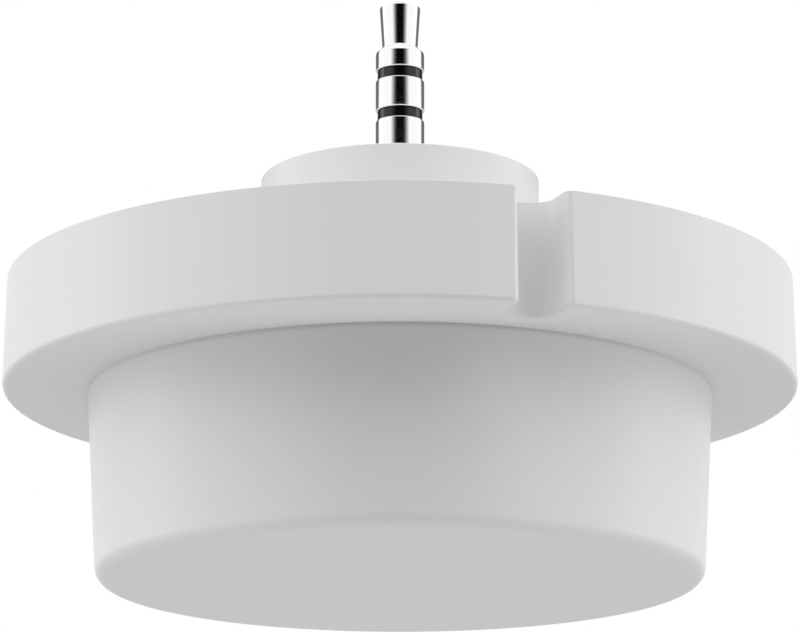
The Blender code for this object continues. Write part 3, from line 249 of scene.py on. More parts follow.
# Cards that only reflections show. Two stand close to the plug, in front and behind. Further out, a low
# one behind darkens the face, and a far one in front darkens the plug seen level or from above. Those in
# front fade out toward their edges.
FRONT_CARD_TURN = math.radians(50)
FRONT_CARD_DARK = 0.973
FRONT_CARD_CLEAR = 0.67
BACK_CARD_TURN = math.radians(60)
BACK_CARD_GREY = 0.16
PLUG_CARD_DISTANCE = 60 * MM
PLUG_CARD_HEIGHTS = (44 * MM, 75 * MM)
LOW_CARD_TURN = math.radians(100)
LOW_CARD_GREY = 0.5
OUTER_CARD_DISTANCE = 400 * MM
LOW_CARD_HEIGHTS = (-400 * MM, -10 * MM)
FAR_CARD_HEIGHTS = (-180 * MM, 50 * MM)
CARD_STEPS = 24

# Floor: it fades out between two distances
FLOOR_FADE = (105 * MM, 350 * MM)
FLOOR_COLOUR = (0.9, 0.9, 0.9)
FLOOR_GAP = 0.2 * MM

# Finishes: the range that most of a noise keeps to, and how far roughness and colour vary about their
# middle. Grains are counted per millimetre.
NOISE_LOW = 0.3
NOISE_HIGH = 0.7
PLASTIC_ROUGHNESS_CHANGE = 0.1
METAL_ROUGHNESS_CHANGE = 0.2
METAL_COLOUR_CHANGE = 0.02
BROAD_GRAIN = 0.08
SEAL_GREY = (0.45, 0.45, 0.44)
COPPER = (0.80, 0.62, 0.35)

# Boards: tracks show as a lighter net in the solder mask, and the antenna's copper stands out
MASK_ROUGHNESS = (0.36, 0.48)
MASK_GRAIN = 3.0
MASK_DARKER = 0.1
TRACK_LIGHTER = 0.35
TRACK_SHARE = 0.05
TRACK_RELIEF = 0.01 * MM
PATCH_RELIEF = 0.15 * MM


def drum_radius(height):
    return DRUM_RADIUS - (DRUM_DEPTH - height) * math.tan(DRUM_DRAFT)


def on_circle(radius, angle):
    return radius * math.cos(angle), radius * math.sin(angle)


def round_angles(count, offset=0.0):
    """Angles that share a circle evenly, counted from the notch."""
    return [-math.pi / 2 + offset + index * math.tau / count for index in range(count)]


def arc_through(before, corner, after, radius):
    """Points of the arc that rounds a corner between two straight runs."""
    to_before = (Vector(before) - Vector(corner)).normalized()
    to_after = (Vector(after) - Vector(corner)).normalized()
    half = to_before.angle(to_after) / 2
    centre = Vector(corner) + (to_before + to_after).normalized() * radius / math.sin(half)
    start = Vector(corner) + to_before * radius / math.tan(half) - centre
    end = Vector(corner) + to_after * radius / math.tan(half) - centre
    sweep = start.angle_signed(end)
    turns = [Matrix.Rotation(-sweep * step / ARC_STEPS, 2) for step in range(ARC_STEPS + 1)]
    return [tuple(centre + turn @ start) for turn in turns]


def rounded(corners):
    """A path through corners (across, up), with an arc at each that has a third value, its fillet."""
    points = []
    for index, corner in enumerate(corners):
        if len(corner) == 2:
            points.append(corner)
            continue
        before = corners[index - 1][:2]
        after = corners[(index + 1) % len(corners)][:2]
        points += arc_through(before, corner[:2], after, corner[2])
    return points


def as_object(name, bm):
    mesh = bpy.data.meshes.new(name)
    bmesh.ops.recalc_face_normals(bm, faces=bm.faces)
    bm.to_mesh(mesh)
    bm.free()
    obj = bpy.data.objects.new(name, mesh)
    bpy.context.scene.collection.objects.link(obj)
    return obj


def turned(name, profile, steps=ROUND_STEPS, closed=False):
    """A profile (radius, height) turned about the Z axis."""
    bm = bmesh.new()
    verts = [bm.verts.new((radius, 0.0, height)) for radius, height in profile]
    ends = list(zip(verts, verts[1:]))
    if closed:
        ends.append((verts[-1], verts[0]))
    edges = [bm.edges.new(pair) for pair in ends]
    bmesh.ops.spin(bm, geom=verts + edges, cent=(0, 0, 0), axis=(0, 0, 1), angle=math.tau, steps=steps,
                   use_merge=True)
    bmesh.ops.remove_doubles(bm, verts=bm.verts, dist=MERGE)
    return as_object(name, bm)


def blocks(name, size, places):
    """Boxes of one size, each centred on its place."""
    bm = bmesh.new()
    for place in places:
        bmesh.ops.create_cube(bm, size=1.0, matrix=place @ Matrix.Diagonal((*size, 1.0)))
    return as_object(name, bm)


def rods(name, radius, bottom, top, centres, steps=SMALL_STEPS):
    """Round bars of one size, standing between two heights."""
    bm = bmesh.new()
    for x, y in centres:
        place = Matrix.Translation((x, y, (bottom + top) / 2))
        bmesh.ops.create_cone(bm, cap_ends=True, segments=steps, radius1=radius, radius2=radius,
                              depth=top - bottom, matrix=place)
    return as_object(name, bm)


def loft(name, levels):
    """A closed body through outlines (x, y) at heights."""
    bm = bmesh.new()
    loops = [[bm.verts.new((x, y, height)) for x, y in outline] for height, outline in levels]
    for lower, upper in zip(loops, loops[1:]):
        for index in range(len(lower)):
            after = (index + 1) % len(lower)
            bm.faces.new((lower[index], lower[after], upper[after], upper[index]))
    bm.faces.new(loops[0])
    bm.faces.new(loops[-1])
    return as_object(name, bm)


def combine(obj, tool, operation):
    """Join another shape to a piece, or cut it out, and clear the other shape away."""
    modifier = obj.modifiers.new(tool.name, "BOOLEAN")
    modifier.operation = operation
    modifier.object = tool
    settle(obj)
    bpy.data.objects.remove(tool, do_unlink=True)


def cut(obj, tool):
    combine(obj, tool, "DIFFERENCE")


def join(obj, tool):
    combine(obj, tool, "UNION")


def settle(obj):
    """Make the piece's mesh what its modifiers draw."""
    bpy.context.view_layer.update()
    graph = bpy.context.evaluated_depsgraph_get()
    mesh = bpy.data.meshes.new_from_object(obj.evaluated_get(graph))
    obj.modifiers.clear()
    obj.data = mesh


def show(obj, material, slot, *nodes):
    """Shade a finished piece, give it its material and let it stand for its CAD nodes."""
    obj.data.shade_smooth()
    obj.data.set_sharp_from_angle(angle=CREASE)
    weighted = obj.modifiers.new("normals", "WEIGHTED_NORMAL")
    weighted.keep_sharp = True
    settle(obj)
    obj.data.name = obj.name
    obj.data.materials.clear()
    obj.data.materials.append(material)
    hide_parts(*nodes)
    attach(obj, "root")


def notch_mouth(half_width, rim, flare, corner):
    """One side of the slot's mouth, from its wall out past the rim."""
    across = half_width + flare - (flare - corner) * math.cos(NOTCH_FLARE_TURN)
    out = math.sqrt((rim - corner) ** 2 - across ** 2)
    start = out - (flare - corner) * math.sin(NOTCH_FLARE_TURN)
    side = []
    for step in range(ARC_STEPS):
        x, y = on_circle(flare, NOTCH_FLARE_TURN * step / ARC_STEPS)
        side.append((half_width + flare - x, start + y))
    for step in range(CORNER_STEPS + 1):
        turn = (NOTCH_CORNER_TURN - NOTCH_FLARE_TURN) * step / CORNER_STEPS
        x, y = on_circle(corner, NOTCH_FLARE_TURN + turn)
        side.append((across - x, out + y))
    side.append((side[-1][0], rim + THROUGH))
    return side


def notch_outline(half_width, rim, flare=LEAST_CORNER, corner=LEAST_CORNER):
    """Plan of the slot, open past the rim."""
    end = [math.pi + math.pi * step / NOTCH_END_STEPS for step in range(NOTCH_END_STEPS + 1)]
    outline = [(x, y + NOTCH_END_CENTRE) for x, y in (on_circle(half_width, angle) for angle in end)]
    side = notch_mouth(half_width, rim, flare, corner)
    outline += side
    outline += [(-x, y) for x, y in reversed(side)]
    return [(x, -y) for x, y in outline]


def notch_cutter():
    """The slot, wider at the flange's underside where its edge is rounded."""
    steps = [math.pi / 2 * step / ARC_STEPS for step in range(ARC_STEPS, -1, -1)]
    levels = [(DRUM_DEPTH - THROUGH, FLANGE_RADIUS, FLANGE_RIM_FILLET)]
    for angle in steps:
        rise = FLANGE_RIM_FILLET * (1 - math.sin(angle))
        levels.append((DRUM_DEPTH + rise, FLANGE_RADIUS, FLANGE_RIM_FILLET * (1 - math.cos(angle))))
    levels.append((FLANGE_TOP + THROUGH, RIM_RADIUS, 0.0))
    fillets = (NOTCH_FLARE_FILLET, NOTCH_CORNER_FILLET)
    outlines = []
    for height, rim, back in levels:
        flare, corner = [max(fillet - back, LEAST_CORNER) for fillet in fillets]
        outlines.append((height, notch_outline(NOTCH_HALF_WIDTH + back, rim - back, flare, corner)))
    return loft("notch_cutter", outlines)


def shell_profile():
    return rounded([
        (0.0, WALL),
        (drum_radius(WALL) - WALL, WALL, DRUM_INNER_FILLET),
        (COLLAR_INNER_RADIUS, DRUM_DEPTH),
        (COLLAR_INNER_RADIUS, SEAL_SEAT),
        (SEAL_LIP_INNER_RADIUS, SEAL_SEAT),
        (SEAL_LIP_INNER_RADIUS, SEAL_SEAT + SEAL_LIP_HEIGHT),
        (DRUM_RADIUS, SEAL_SEAT + SEAL_LIP_HEIGHT),
        (DRUM_RADIUS, FLANGE_FLOOR),
        (SKIRT_INNER_RADIUS, FLANGE_FLOOR),
        (SKIRT_INNER_RADIUS, FLANGE_TOP),
        (RIM_RADIUS, FLANGE_TOP),
        (FLANGE_RADIUS, DRUM_DEPTH, FLANGE_RIM_FILLET),
        (NECK_RADIUS, DRUM_DEPTH),
        (NECK_RADIUS, DRUM_SHOULDER),
        (drum_radius(DRUM_SHOULDER), DRUM_SHOULDER),
        (drum_radius(0.0), 0.0, DRUM_EDGE_FILLET),
        (0.0, 0.0),
    ])


def shell_ribs():
    """Radial ribs that tie the flange's skirt to the collar."""
    foot = DRUM_RADIUS - EMBED
    length = SKIRT_INNER_RADIUS + EMBED - foot
    bottom = FLANGE_FLOOR - EMBED
    height = SCREW_BOSS_TOP - RIB_CLEARANCE - bottom
    centre = Matrix.Translation((foot + length / 2, 0.0, bottom + height / 2))
    turns = [Matrix.Rotation(angle, 4, "Z") for angle in round_angles(RIB_COUNT)]
    return blocks("ribs", (length, RIB_THICKNESS, height), [turn @ centre for turn in turns])


def seal_seat():
    top = FLANGE_TOP + THROUGH
    profile = [
        (COLLAR_INNER_RADIUS - THROUGH, top),
        (SEAL_LIP_INNER_RADIUS, top),
        (SEAL_LIP_INNER_RADIUS, SEAL_SEAT),
        (COLLAR_INNER_RADIUS - THROUGH, SEAL_SEAT),
    ]
    return turned("seal_seat", profile, closed=True)


def cover_screw_places():
    angles = round_angles(COVER_SCREW_COUNT, math.pi / COVER_SCREW_COUNT)
    return [on_circle(COVER_SCREW_CIRCLE, angle) for angle in angles]


def front_shell(material):
    shell = turned("shell_moulding", shell_profile())
    screws = cover_screw_places()
    posts = [on_circle(BOARD_POST_CIRCLE, angle) for angle in round_angles(BOARD_POST_COUNT, math.pi)]
    screw_boss = COVER_SCREW_SHANK_RADIUS + SEAT_GAP + SCREW_BOSS_WALL
    join(shell, shell_ribs())
    join(shell, rods("screw_bosses", screw_boss, FLANGE_FLOOR - EMBED, SCREW_BOSS_TOP, screws))
    wall = notch_outline(NOTCH_HALF_WIDTH + NOTCH_WALL, SKIRT_INNER_RADIUS)
    join(shell, loft("channel", [(FLANGE_FLOOR - EMBED, wall), (FLANGE_TOP, wall)]))
    join(shell, rods("posts", BOARD_POST_RADIUS, WALL - EMBED, BOARD_POST_TOP, posts))
    cut(shell, seal_seat())
    cut(shell, rods("cover_pilots", COVER_SCREW_SHANK_RADIUS + SEAT_GAP, FLANGE_FLOOR,
                    SCREW_BOSS_TOP + THROUGH, screws))
    cut(shell, rods("board_pilots", BOARD_PILOT_RADIUS, BOARD_PILOT_BOTTOM,
                    BOARD_POST_TOP + THROUGH, posts))
    cut(shell, notch_cutter())
    show(shell, material, "white_plastic", "front_shell")


def cover_profile():
    groove_inner = MOUNTING_SEAL_INNER_RADIUS - SEAT_GAP
    groove_outer = MOUNTING_SEAL_OUTER_RADIUS + SEAT_GAP
    groove_floor = FLANGE_TOP - SEAL_GROOVE_DEPTH
    rib_radius = COLLAR_INNER_RADIUS - SEAT_GAP
    rib_end = COVER_UNDERSIDE - COVER_RIB_HEIGHT
    return rounded([
        (PLUG_HOLE_RADIUS, BOSS_TOP),
        (BOSS_RADIUS, BOSS_TOP, BOSS_EDGE_FILLET),
        (BOSS_RADIUS, FLANGE_TOP, BOSS_ROOT_FILLET),
        (groove_inner, FLANGE_TOP),
        (groove_inner, groove_floor),
        (groove_outer, groove_floor),
        (groove_outer, FLANGE_TOP),
        (COVER_RADIUS, FLANGE_TOP),
        (COVER_RADIUS, COVER_UNDERSIDE),
        (rib_radius, COVER_UNDERSIDE),
        (rib_radius, rib_end),
        (rib_radius - COVER_RIB_WIDTH, rib_end),
        (rib_radius - COVER_RIB_WIDTH, COVER_UNDERSIDE),
        (BOSS_INNER_RADIUS, COVER_UNDERSIDE),
        (BOSS_INNER_RADIUS, BOSS_CEILING),
        (SOCKET_RADIUS + SOCKET_WALL, BOSS_CEILING),
        (SOCKET_RADIUS + SOCKET_WALL, SOCKET_END),
        (PLUG_HOLE_RADIUS, SOCKET_END),
    ])


def countersinks():
    """The cones and holes that the cover's screws lie in."""
    slope = (COVER_SCREW_HEAD_RADIUS - COVER_SCREW_SHANK_RADIUS) / COVER_SCREW_HEAD_HEIGHT
    hole = COVER_SCREW_SHANK_RADIUS + SEAT_GAP
    mouth = COVER_SCREW_HEAD_RADIUS + SEAT_GAP + slope * THROUGH
    cone_bottom = FLANGE_TOP - COVER_SCREW_HEAD_HEIGHT
    levels = [
        (COVER_UNDERSIDE - THROUGH, hole),
        (cone_bottom, hole),
        (FLANGE_TOP + THROUGH, mouth),
    ]
    turns = [math.tau * step / SMALL_STEPS for step in range(SMALL_STEPS)]
    tools = []
    for number, (x, y) in enumerate(cover_screw_places(), start=1):
        outlines = []
        for height, radius in levels:
            outlines.append((height, [(x + radius * math.cos(a), y + radius * math.sin(a)) for a in turns]))
        tools.append(loft(f"countersink_{number}", outlines))
    return tools


def rear_cover(material):
    cover = turned("cover_moulding", cover_profile(), closed=True)
    posts = [(-RETAINER_POST_CIRCLE, 0.0), (RETAINER_POST_CIRCLE, 0.0)]
    join(cover, rods("retainer_posts", RETAINER_POST_RADIUS, SOCKET_END, BOSS_CEILING + EMBED, posts))
    cut(cover, rods("socket_bore", SOCKET_RADIUS, SOCKET_END - THROUGH, BOSS_CEILING, [(0.0, 0.0)]))
    cut(cover, rods("retainer_pilots", RETAINER_PILOT_RADIUS, SOCKET_END - THROUGH,
                    SOCKET_END + RETAINER_PILOT_DEPTH, posts))
    for tool in countersinks():
        cut(cover, tool)
    wall = notch_outline(NOTCH_HALF_WIDTH + NOTCH_WALL + SEAT_GAP, COVER_RADIUS)
    cut(cover, loft("cover_notch", [(COVER_UNDERSIDE - THROUGH, wall), (FLANGE_TOP + THROUGH, wall)]))
    show(cover, material, "white_plastic", "rear_cover")


def mounting_seal(material):
    """The seal that the head is pressed against its holder with, its edges rounded."""
    bottom = MOUNTING_SEAL_BOX[0].z
    top = MOUNTING_SEAL_BOX[1].z
    profile = rounded([
        (MOUNTING_SEAL_INNER_RADIUS, top, SEAL_EDGE_FILLET),
        (MOUNTING_SEAL_OUTER_RADIUS, top, SEAL_EDGE_FILLET),
        (MOUNTING_SEAL_OUTER_RADIUS, bottom, SEAL_EDGE_FILLET),
        (MOUNTING_SEAL_INNER_RADIUS, bottom, SEAL_EDGE_FILLET),
    ])
    show(turned("seal_ring", profile, closed=True), material, "silicone", "mounting_seal")


def contact(name, node, profile, material, closed=True):
    """One of the plug's plated contacts."""
    show(turned(name, profile, PLUG_STEPS, closed), material, "plated_metal", node)


def plug_tip(material):
    """The nose, waist and shoulder of the tip, with the rod that carries it through the plug."""
    rod_end = PLUG_TIP_BOX[0].z
    profile = rounded([
        (0.0, PLUG_TOP),
        (TIP_NOSE_RADIUS, PLUG_TOP, TIP_NOSE_FILLET),
        (TIP_FLARE_RADIUS, PLUG_TOP - TIP_FLARE_DROP, TIP_FLARE_FILLET),
        (TIP_WAIST_RADIUS, PLUG_TOP - TIP_WAIST_DROP, TIP_WAIST_FILLET),
        (PLUG_RADIUS, PLUG_TOP - TIP_SHOULDER_DROP, TIP_SHOULDER_FILLET),
        (PLUG_RADIUS, TIP_BASE, CONTACT_EDGE_FILLET),
        (TIP_ROD_RADIUS, TIP_BASE),
        (TIP_ROD_RADIUS, rod_end),
        (0.0, rod_end),
    ])
    contact("tip_contact", "plug_tip", profile, material, closed=False)


def plug_ring(material):
    inner, outer = RING_TUBE_RADII
    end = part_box("plug_ring")[0].z
    profile = rounded([
        (inner, RING_TOP),
        (PLUG_RADIUS, RING_TOP, CONTACT_EDGE_FILLET),
        (PLUG_RADIUS, RING_BASE, CONTACT_EDGE_FILLET),
        (outer, RING_BASE),
        (outer, end),
        (inner, end),
    ])
    contact("ring_contact", "plug_ring", profile, material)


def plug_sleeve(material):
    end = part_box("plug_sleeve")[0].z
    profile = rounded([
        (SLEEVE_INNER_RADIUS, SLEEVE_TOP),
        (PLUG_RADIUS, SLEEVE_TOP, CONTACT_EDGE_FILLET),
        (PLUG_RADIUS, COLLAR_TOP),
        (COLLAR_RADIUS, COLLAR_TOP),
        (COLLAR_RADIUS, COLLAR_TOP - COLLAR_THICKNESS),
        (SHANK_RADIUS, COLLAR_TOP - COLLAR_THICKNESS),
        (SHANK_RADIUS, end),
        (SLEEVE_INNER_RADIUS, end),
    ])
    contact("sleeve_contact", "plug_sleeve", profile, material)


def insulator(name, node, radii, band_top, material):
    """A flanged tube: the flange shows as the black band between two contacts."""
    inner, outer = radii
    top = band_top - BAND_GAP
    bottom = band_top - BAND_LENGTH + BAND_GAP
    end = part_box(node)[0].z
    profile = [
        (inner, top),
        (BAND_RADIUS, top),
        (BAND_RADIUS, bottom),
        (outer, bottom),
        (outer, end),
        (inner, end),
    ]
    show(turned(name, profile, PLUG_STEPS, closed=True), material, "black_plastic", node)


def cover_screws(material):
    """Countersunk screws with a cross recess."""
    profile = [
        (0.0, SCREW_TOP),
        (COVER_SCREW_HEAD_RADIUS, SCREW_TOP),
        (COVER_SCREW_SHANK_RADIUS, SCREW_TOP - COVER_SCREW_HEAD_HEIGHT),
        (COVER_SCREW_SHANK_RADIUS, SCREW_BOTTOM + COVER_SCREW_SHANK_RADIUS),
        (COVER_SCREW_SHANK_RADIUS / 2, SCREW_BOTTOM),
        (0.0, SCREW_BOTTOM),
    ]
    depth = SCREW_SLOT_DEPTH + THROUGH
    middle = Matrix.Translation((0.0, 0.0, SCREW_TOP - SCREW_SLOT_DEPTH + depth / 2))
    arm = (SCREW_SLOT_LENGTH, SCREW_SLOT_WIDTH, depth)
    for number, (x, y) in enumerate(cover_screw_places(), start=1):
        screw = turned(f"screw_{number}", profile, SMALL_STEPS)
        for turn in (0.0, math.pi / 2):
            cut(screw, blocks("slot", arm, [middle @ Matrix.Rotation(turn, 4, "Z")]))
        screw.data.transform(Matrix.Translation((x, y, 0.0)))
        show(screw, material, "zinc_steel", f"cover_screw_{number}")


def new_material(name, roughness, metallic=0.0):
    """A material's node tree and its shader."""
    material = bpy.data.materials.new(name)
    material.use_nodes = True
    shader = material.node_tree.nodes["Principled BSDF"]
    shader.inputs["Roughness"].default_value = roughness
    shader.inputs["Metallic"].default_value = metallic
    return material, material.node_tree, shader


def coordinates(tree, kind="Object"):
    return tree.nodes.new("ShaderNodeTexCoord").outputs[kind]


def arithmetic(tree, operation, first, second):
    """One step of arithmetic on two values, each a socket or a number."""
    node = tree.nodes.new("ShaderNodeMath")
    node.operation = operation
    for socket, value in zip(node.inputs, (first, second)):
        if isinstance(value, float):
            socket.default_value = value
        else:
            tree.links.new(value, socket)
    return node.outputs["Value"]


def blend(tree, share, first, second):
    """A mix of two colours, each a socket or a value."""
    mix = tree.nodes.new("ShaderNodeMix")
    mix.data_type = "RGBA"
    tree.links.new(share, mix.inputs["Factor"])
    for name, colour in (("A", first), ("B", second)):
        if isinstance(colour, tuple):
            mix.inputs[name].default_value = (*colour, 1.0)
        else:
            tree.links.new(colour, mix.inputs[name])
    return mix.outputs["Result"]


def remap(tree, value, low, high, interpolation="LINEAR"):
    """0 below one end of a range, 1 above the other."""
    node = tree.nodes.new("ShaderNodeMapRange")
    node.interpolation_type = interpolation
    node.inputs["From Min"].default_value = low
    node.inputs["From Max"].default_value = high
    tree.links.new(value, node.inputs["Value"])
    return node.outputs["Result"]


def spread(tree, value, low, high):
    """The middle of a noise's range taken to a range of its own."""
    share = remap(tree, value, NOISE_LOW, NOISE_HIGH)
    return arithmetic(tree, "ADD", arithmetic(tree, "MULTIPLY", share, high - low), low)


def height_of(tree, place):
    split = tree.nodes.new("ShaderNodeSeparateXYZ")
    tree.links.new(place, split.inputs["Vector"])
    return split.outputs["Z"]


def along(tree, place, direction):
    """How far a place lies in a level direction."""
    node = tree.nodes.new("ShaderNodeVectorMath")
    node.operation = "DOT_PRODUCT"
    node.inputs[1].default_value = (*direction, 0.0)
    tree.links.new(place, node.inputs[0])
    return node.outputs["Value"]


def grain(tree, per_mm, stretch=(1.0, 1.0, 1.0)):
    """Noise in the piece's own coordinates, with so many grains to a millimetre."""
    scale = tree.nodes.new("ShaderNodeMapping")
    noise = tree.nodes.new("ShaderNodeTexNoise")
    scale.inputs["Scale"].default_value = stretch
    noise.inputs["Scale"].default_value = per_mm / MM
    tree.links.new(coordinates(tree), scale.inputs["Vector"])
    tree.links.new(scale.outputs["Vector"], noise.inputs["Vector"])
    return noise.outputs["Fac"]


def bump(tree, shader, height, distance):
    node = tree.nodes.new("ShaderNodeBump")
    node.inputs["Distance"].default_value = distance
    tree.links.new(height, node.inputs["Height"])
    tree.links.new(node.outputs["Normal"], shader.inputs["Normal"])


def around(value, change):
    return value * (1 - change), value * (1 + change)


def shades(colour, change):
    """A colour made a little darker, and a little lighter."""
    return list(zip(*(around(part, change) for part in colour)))


def moulded(name, colour, roughness, per_mm=2.0, depth=0.004 * MM, change=0.015):
    """Moulded plastic: an even colour with a fine satin grain."""
    material, tree, shader = new_material(name, roughness)
    broad = grain(tree, BROAD_GRAIN)
    fine = grain(tree, per_mm)
    tree.links.new(blend(tree, broad, *shades(colour, change)), shader.inputs["Base Color"])
    rough = spread(tree, fine, *around(roughness, PLASTIC_ROUGHNESS_CHANGE))
    tree.links.new(rough, shader.inputs["Roughness"])
    bump(tree, shader, fine, depth)
    return material


def metal(name, colour, roughness, stretch=(1.0, 1.0, 12.0), per_mm=1.5, depth=0.0005 * MM):
    """Metal with fine turning or drawing marks."""
    material, tree, shader = new_material(name, roughness, 1.0)
    marks = grain(tree, per_mm, stretch=stretch)
    tree.links.new(blend(tree, marks, *shades(colour, METAL_COLOUR_CHANGE)), shader.inputs["Base Color"])
    rough = spread(tree, marks, *around(roughness, METAL_ROUGHNESS_CHANGE))
    tree.links.new(rough, shader.inputs["Roughness"])
    bump(tree, shader, marks, depth)
    return material


def laminate(name, mask, tracks_per_mm):
    """A board's solder mask, with the tracks under it as a lighter net."""
    material, tree, shader = new_material(name, sum(MASK_ROUGHNESS) / 2)
    tracks = tree.nodes.new("ShaderNodeTexBrick")
    tracks.inputs["Scale"].default_value = tracks_per_mm / MM
    tracks.inputs["Mortar Size"].default_value = TRACK_SHARE
    tracks.inputs["Color1"].default_value = (*mask, 1.0)
    tracks.inputs["Color2"].default_value = (*shades(mask, MASK_DARKER)[0], 1.0)
    tracks.inputs["Mortar"].default_value = (*shades(mask, TRACK_LIGHTER)[1], 1.0)
    tree.links.new(coordinates(tree), tracks.inputs["Vector"])
    tree.links.new(tracks.outputs["Color"], shader.inputs["Base Color"])
    rough = spread(tree, grain(tree, MASK_GRAIN), *MASK_ROUGHNESS)
    tree.links.new(rough, shader.inputs["Roughness"])
    bump(tree, shader, tracks.outputs["Fac"], TRACK_RELIEF)
    return material


def bare_copper(board, level):
    """Bare copper on what stands out of a board below a level."""
    tree = board.node_tree
    shader = tree.nodes["Principled BSDF"]
    mask = shader.inputs["Base Color"].links[0].from_socket
    below = arithmetic(tree, "LESS_THAN", height_of(tree, coordinates(tree)), level)
    tree.links.new(blend(tree, below, mask, COPPER), shader.inputs["Base Color"])
    tree.links.new(below, shader.inputs["Metallic"])
    return board


def dress_inside(black, nylon_white, steel):
    """Finishes of the nodes inside the housing, which keep their CAD shapes."""
    tin = metal("tinned", (0.70, 0.70, 0.68), roughness=0.28, stretch=(1.0, 1.0, 1.0))
    antenna_laminate = laminate("antenna_laminate", (0.75, 0.73, 0.62), tracks_per_mm=0.2)
    antenna_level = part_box("antenna_board")[0].z + PATCH_RELIEF / 2
    finishes = {
        "cover_seal": moulded("seal_rubber", SEAL_GREY, roughness=0.7, per_mm=4.0, depth=0.01 * MM),
        "plug_retainer": nylon_white,
        "lead_connector": nylon_white,
        "header_body": black,
        "microcontroller": black,
        "amplifier_chip": black,
        "voltage_regulator": black,
        "rf_shield_can": tin,
        "crystal": tin,
        "electrolytic_capacitor": metal("can_aluminium", (0.76, 0.76, 0.77), roughness=0.3),
        "inductor": moulded("ferrite_core", (0.09, 0.09, 0.10), roughness=0.6, per_mm=3.0, change=0.2),
        "antenna_board": bare_copper(antenna_laminate, antenna_level),
        "control_board": laminate("control_laminate", (0.02, 0.14, 0.05), tracks_per_mm=0.5),
        "sleeve_lead": moulded("black_sleeving", (0.02, 0.02, 0.02), roughness=0.5),
        "ring_lead": moulded("yellow_sleeving", (0.70, 0.50, 0.03), roughness=0.5),
        "tip_lead": moulded("red_sleeving", (0.55, 0.03, 0.02), roughness=0.5),
    }
    repeats = (
        ("board_screw", BOARD_POST_COUNT, steel),
        ("board_spacer", BOARD_POST_COUNT, nylon_white),
        ("retainer_screw", RETAINER_SCREW_COUNT, steel),
        ("header_pin", HEADER_PIN_COUNT, tin),
    )
    for name, count, material in repeats:
        for number in range(1, count + 1):
            finishes[f"{name}_{number}"] = material
    for node, material in finishes.items():
        for material_slot in frame["nodes"][node].material_slots:
            material_slot.material = material


def dress_object():
    white = moulded("white_moulding", (0.80, 0.80, 0.80), roughness=0.38)
    black = moulded("black_moulding", (0.025, 0.025, 0.025), roughness=0.4, change=0.1)
    nylon_white = moulded("nylon_moulding", (0.72, 0.70, 0.64), roughness=0.5)
    rubber = moulded("silicone_rubber", SEAL_GREY, roughness=0.65, per_mm=4.0, depth=0.008 * MM)
    chrome = metal("plated_contact", (0.96, 0.96, 0.97), roughness=0.09, depth=0.0002 * MM)
    glossy_black = moulded("plug_insulation", (0.003, 0.003, 0.003), roughness=0.13, depth=0.0003 * MM,
                           change=0.1)
    steel = metal("zinc_plating", (0.62, 0.63, 0.65), roughness=0.3, stretch=(1.0, 1.0, 1.0))
    front_shell(white)
    rear_cover(white)
    mounting_seal(rubber)
    plug_tip(chrome)
    plug_ring(chrome)
    plug_sleeve(chrome)
    insulator("upper_band", "tip_insulator", TIP_TUBE_RADII, TIP_BASE, glossy_black)
    insulator("lower_band", "ring_insulator", RING_INSULATOR_RADII, RING_BASE, glossy_black)
    cover_screws(steel)
    dress_inside(black, nylon_white, steel)


def aim(obj, direction):
    obj.rotation_mode = "QUATERNION"
    obj.rotation_quaternion = Vector(direction).to_track_quat("-Z", "Y")


def lamp(name, turn):
    """A tall soft lamp, at an angle from the camera's side."""
    data = bpy.data.lights.new(name, "AREA")
    data.shape = "RECTANGLE"
    data.size = LAMP_WIDTH
    data.size_y = LAMP_HEIGHT
    data.energy = LAMP_LEVEL * math.pi * LAMP_WIDTH * LAMP_HEIGHT
    obj = bpy.data.objects.new(name, data)
    bpy.context.scene.collection.objects.link(obj)
    x, y = on_circle(LAMP_DISTANCE * math.cos(LAMP_RISE), CAMERA_ANGLE + turn)
    middle = Vector((0.0, 0.0, DRUM_DEPTH))
    obj.location = middle + Vector((x, y, LAMP_DISTANCE * math.sin(LAMP_RISE)))
    aim(obj, middle - obj.location)


def card(name, middle, half_turn, distance, heights):
    """A card that only reflections show, curved round the object: its node tree and its glow's strength."""
    bm = bmesh.new()
    rows = []
    for step in range(CARD_STEPS + 1):
        x, y = on_circle(distance, middle + half_turn * (2 * step / CARD_STEPS - 1))
        rows.append([bm.verts.new((x, y, height)) for height in heights])
    for first, second in zip(rows, rows[1:]):
        bm.faces.new((first[0], second[0], second[1], first[1]))
    obj = as_object(name, bm)
    material = bpy.data.materials.new(name)
    material.use_nodes = True
    tree = material.node_tree
    tree.nodes.remove(tree.nodes["Principled BSDF"])
    glow = tree.nodes.new("ShaderNodeEmission")
    tree.links.new(glow.outputs["Emission"], tree.nodes["Material Output"].inputs["Surface"])
    obj.data.materials.append(material)
    obj.visible_camera = False
    obj.visible_diffuse = False
    obj.visible_shadow = False
    return tree, glow.inputs["Strength"]


def front_card(name, distance, heights):
    """A black card that fades to white at its edges."""
    tree, level = card(name, CAMERA_ANGLE, FRONT_CARD_TURN, distance, heights)
    depth = along(tree, coordinates(tree), on_circle(1 / distance, CAMERA_ANGLE))
    dark = remap(tree, depth, FRONT_CARD_CLEAR, FRONT_CARD_DARK, "SMOOTHSTEP")
    tree.links.new(arithmetic(tree, "SUBTRACT", 1.0, dark), level)


def cards():
    behind = CAMERA_ANGLE + math.pi
    front_card("front_card", PLUG_CARD_DISTANCE, PLUG_CARD_HEIGHTS)
    front_card("far_card", OUTER_CARD_DISTANCE, FAR_CARD_HEIGHTS)
    _, level = card("back_card", behind, BACK_CARD_TURN, PLUG_CARD_DISTANCE, PLUG_CARD_HEIGHTS)
    level.default_value = BACK_CARD_GREY
    _, level = card("low_card", behind, LOW_CARD_TURN, OUTER_CARD_DISTANCE, LOW_CARD_HEIGHTS)
    level.default_value = LOW_CARD_GREY


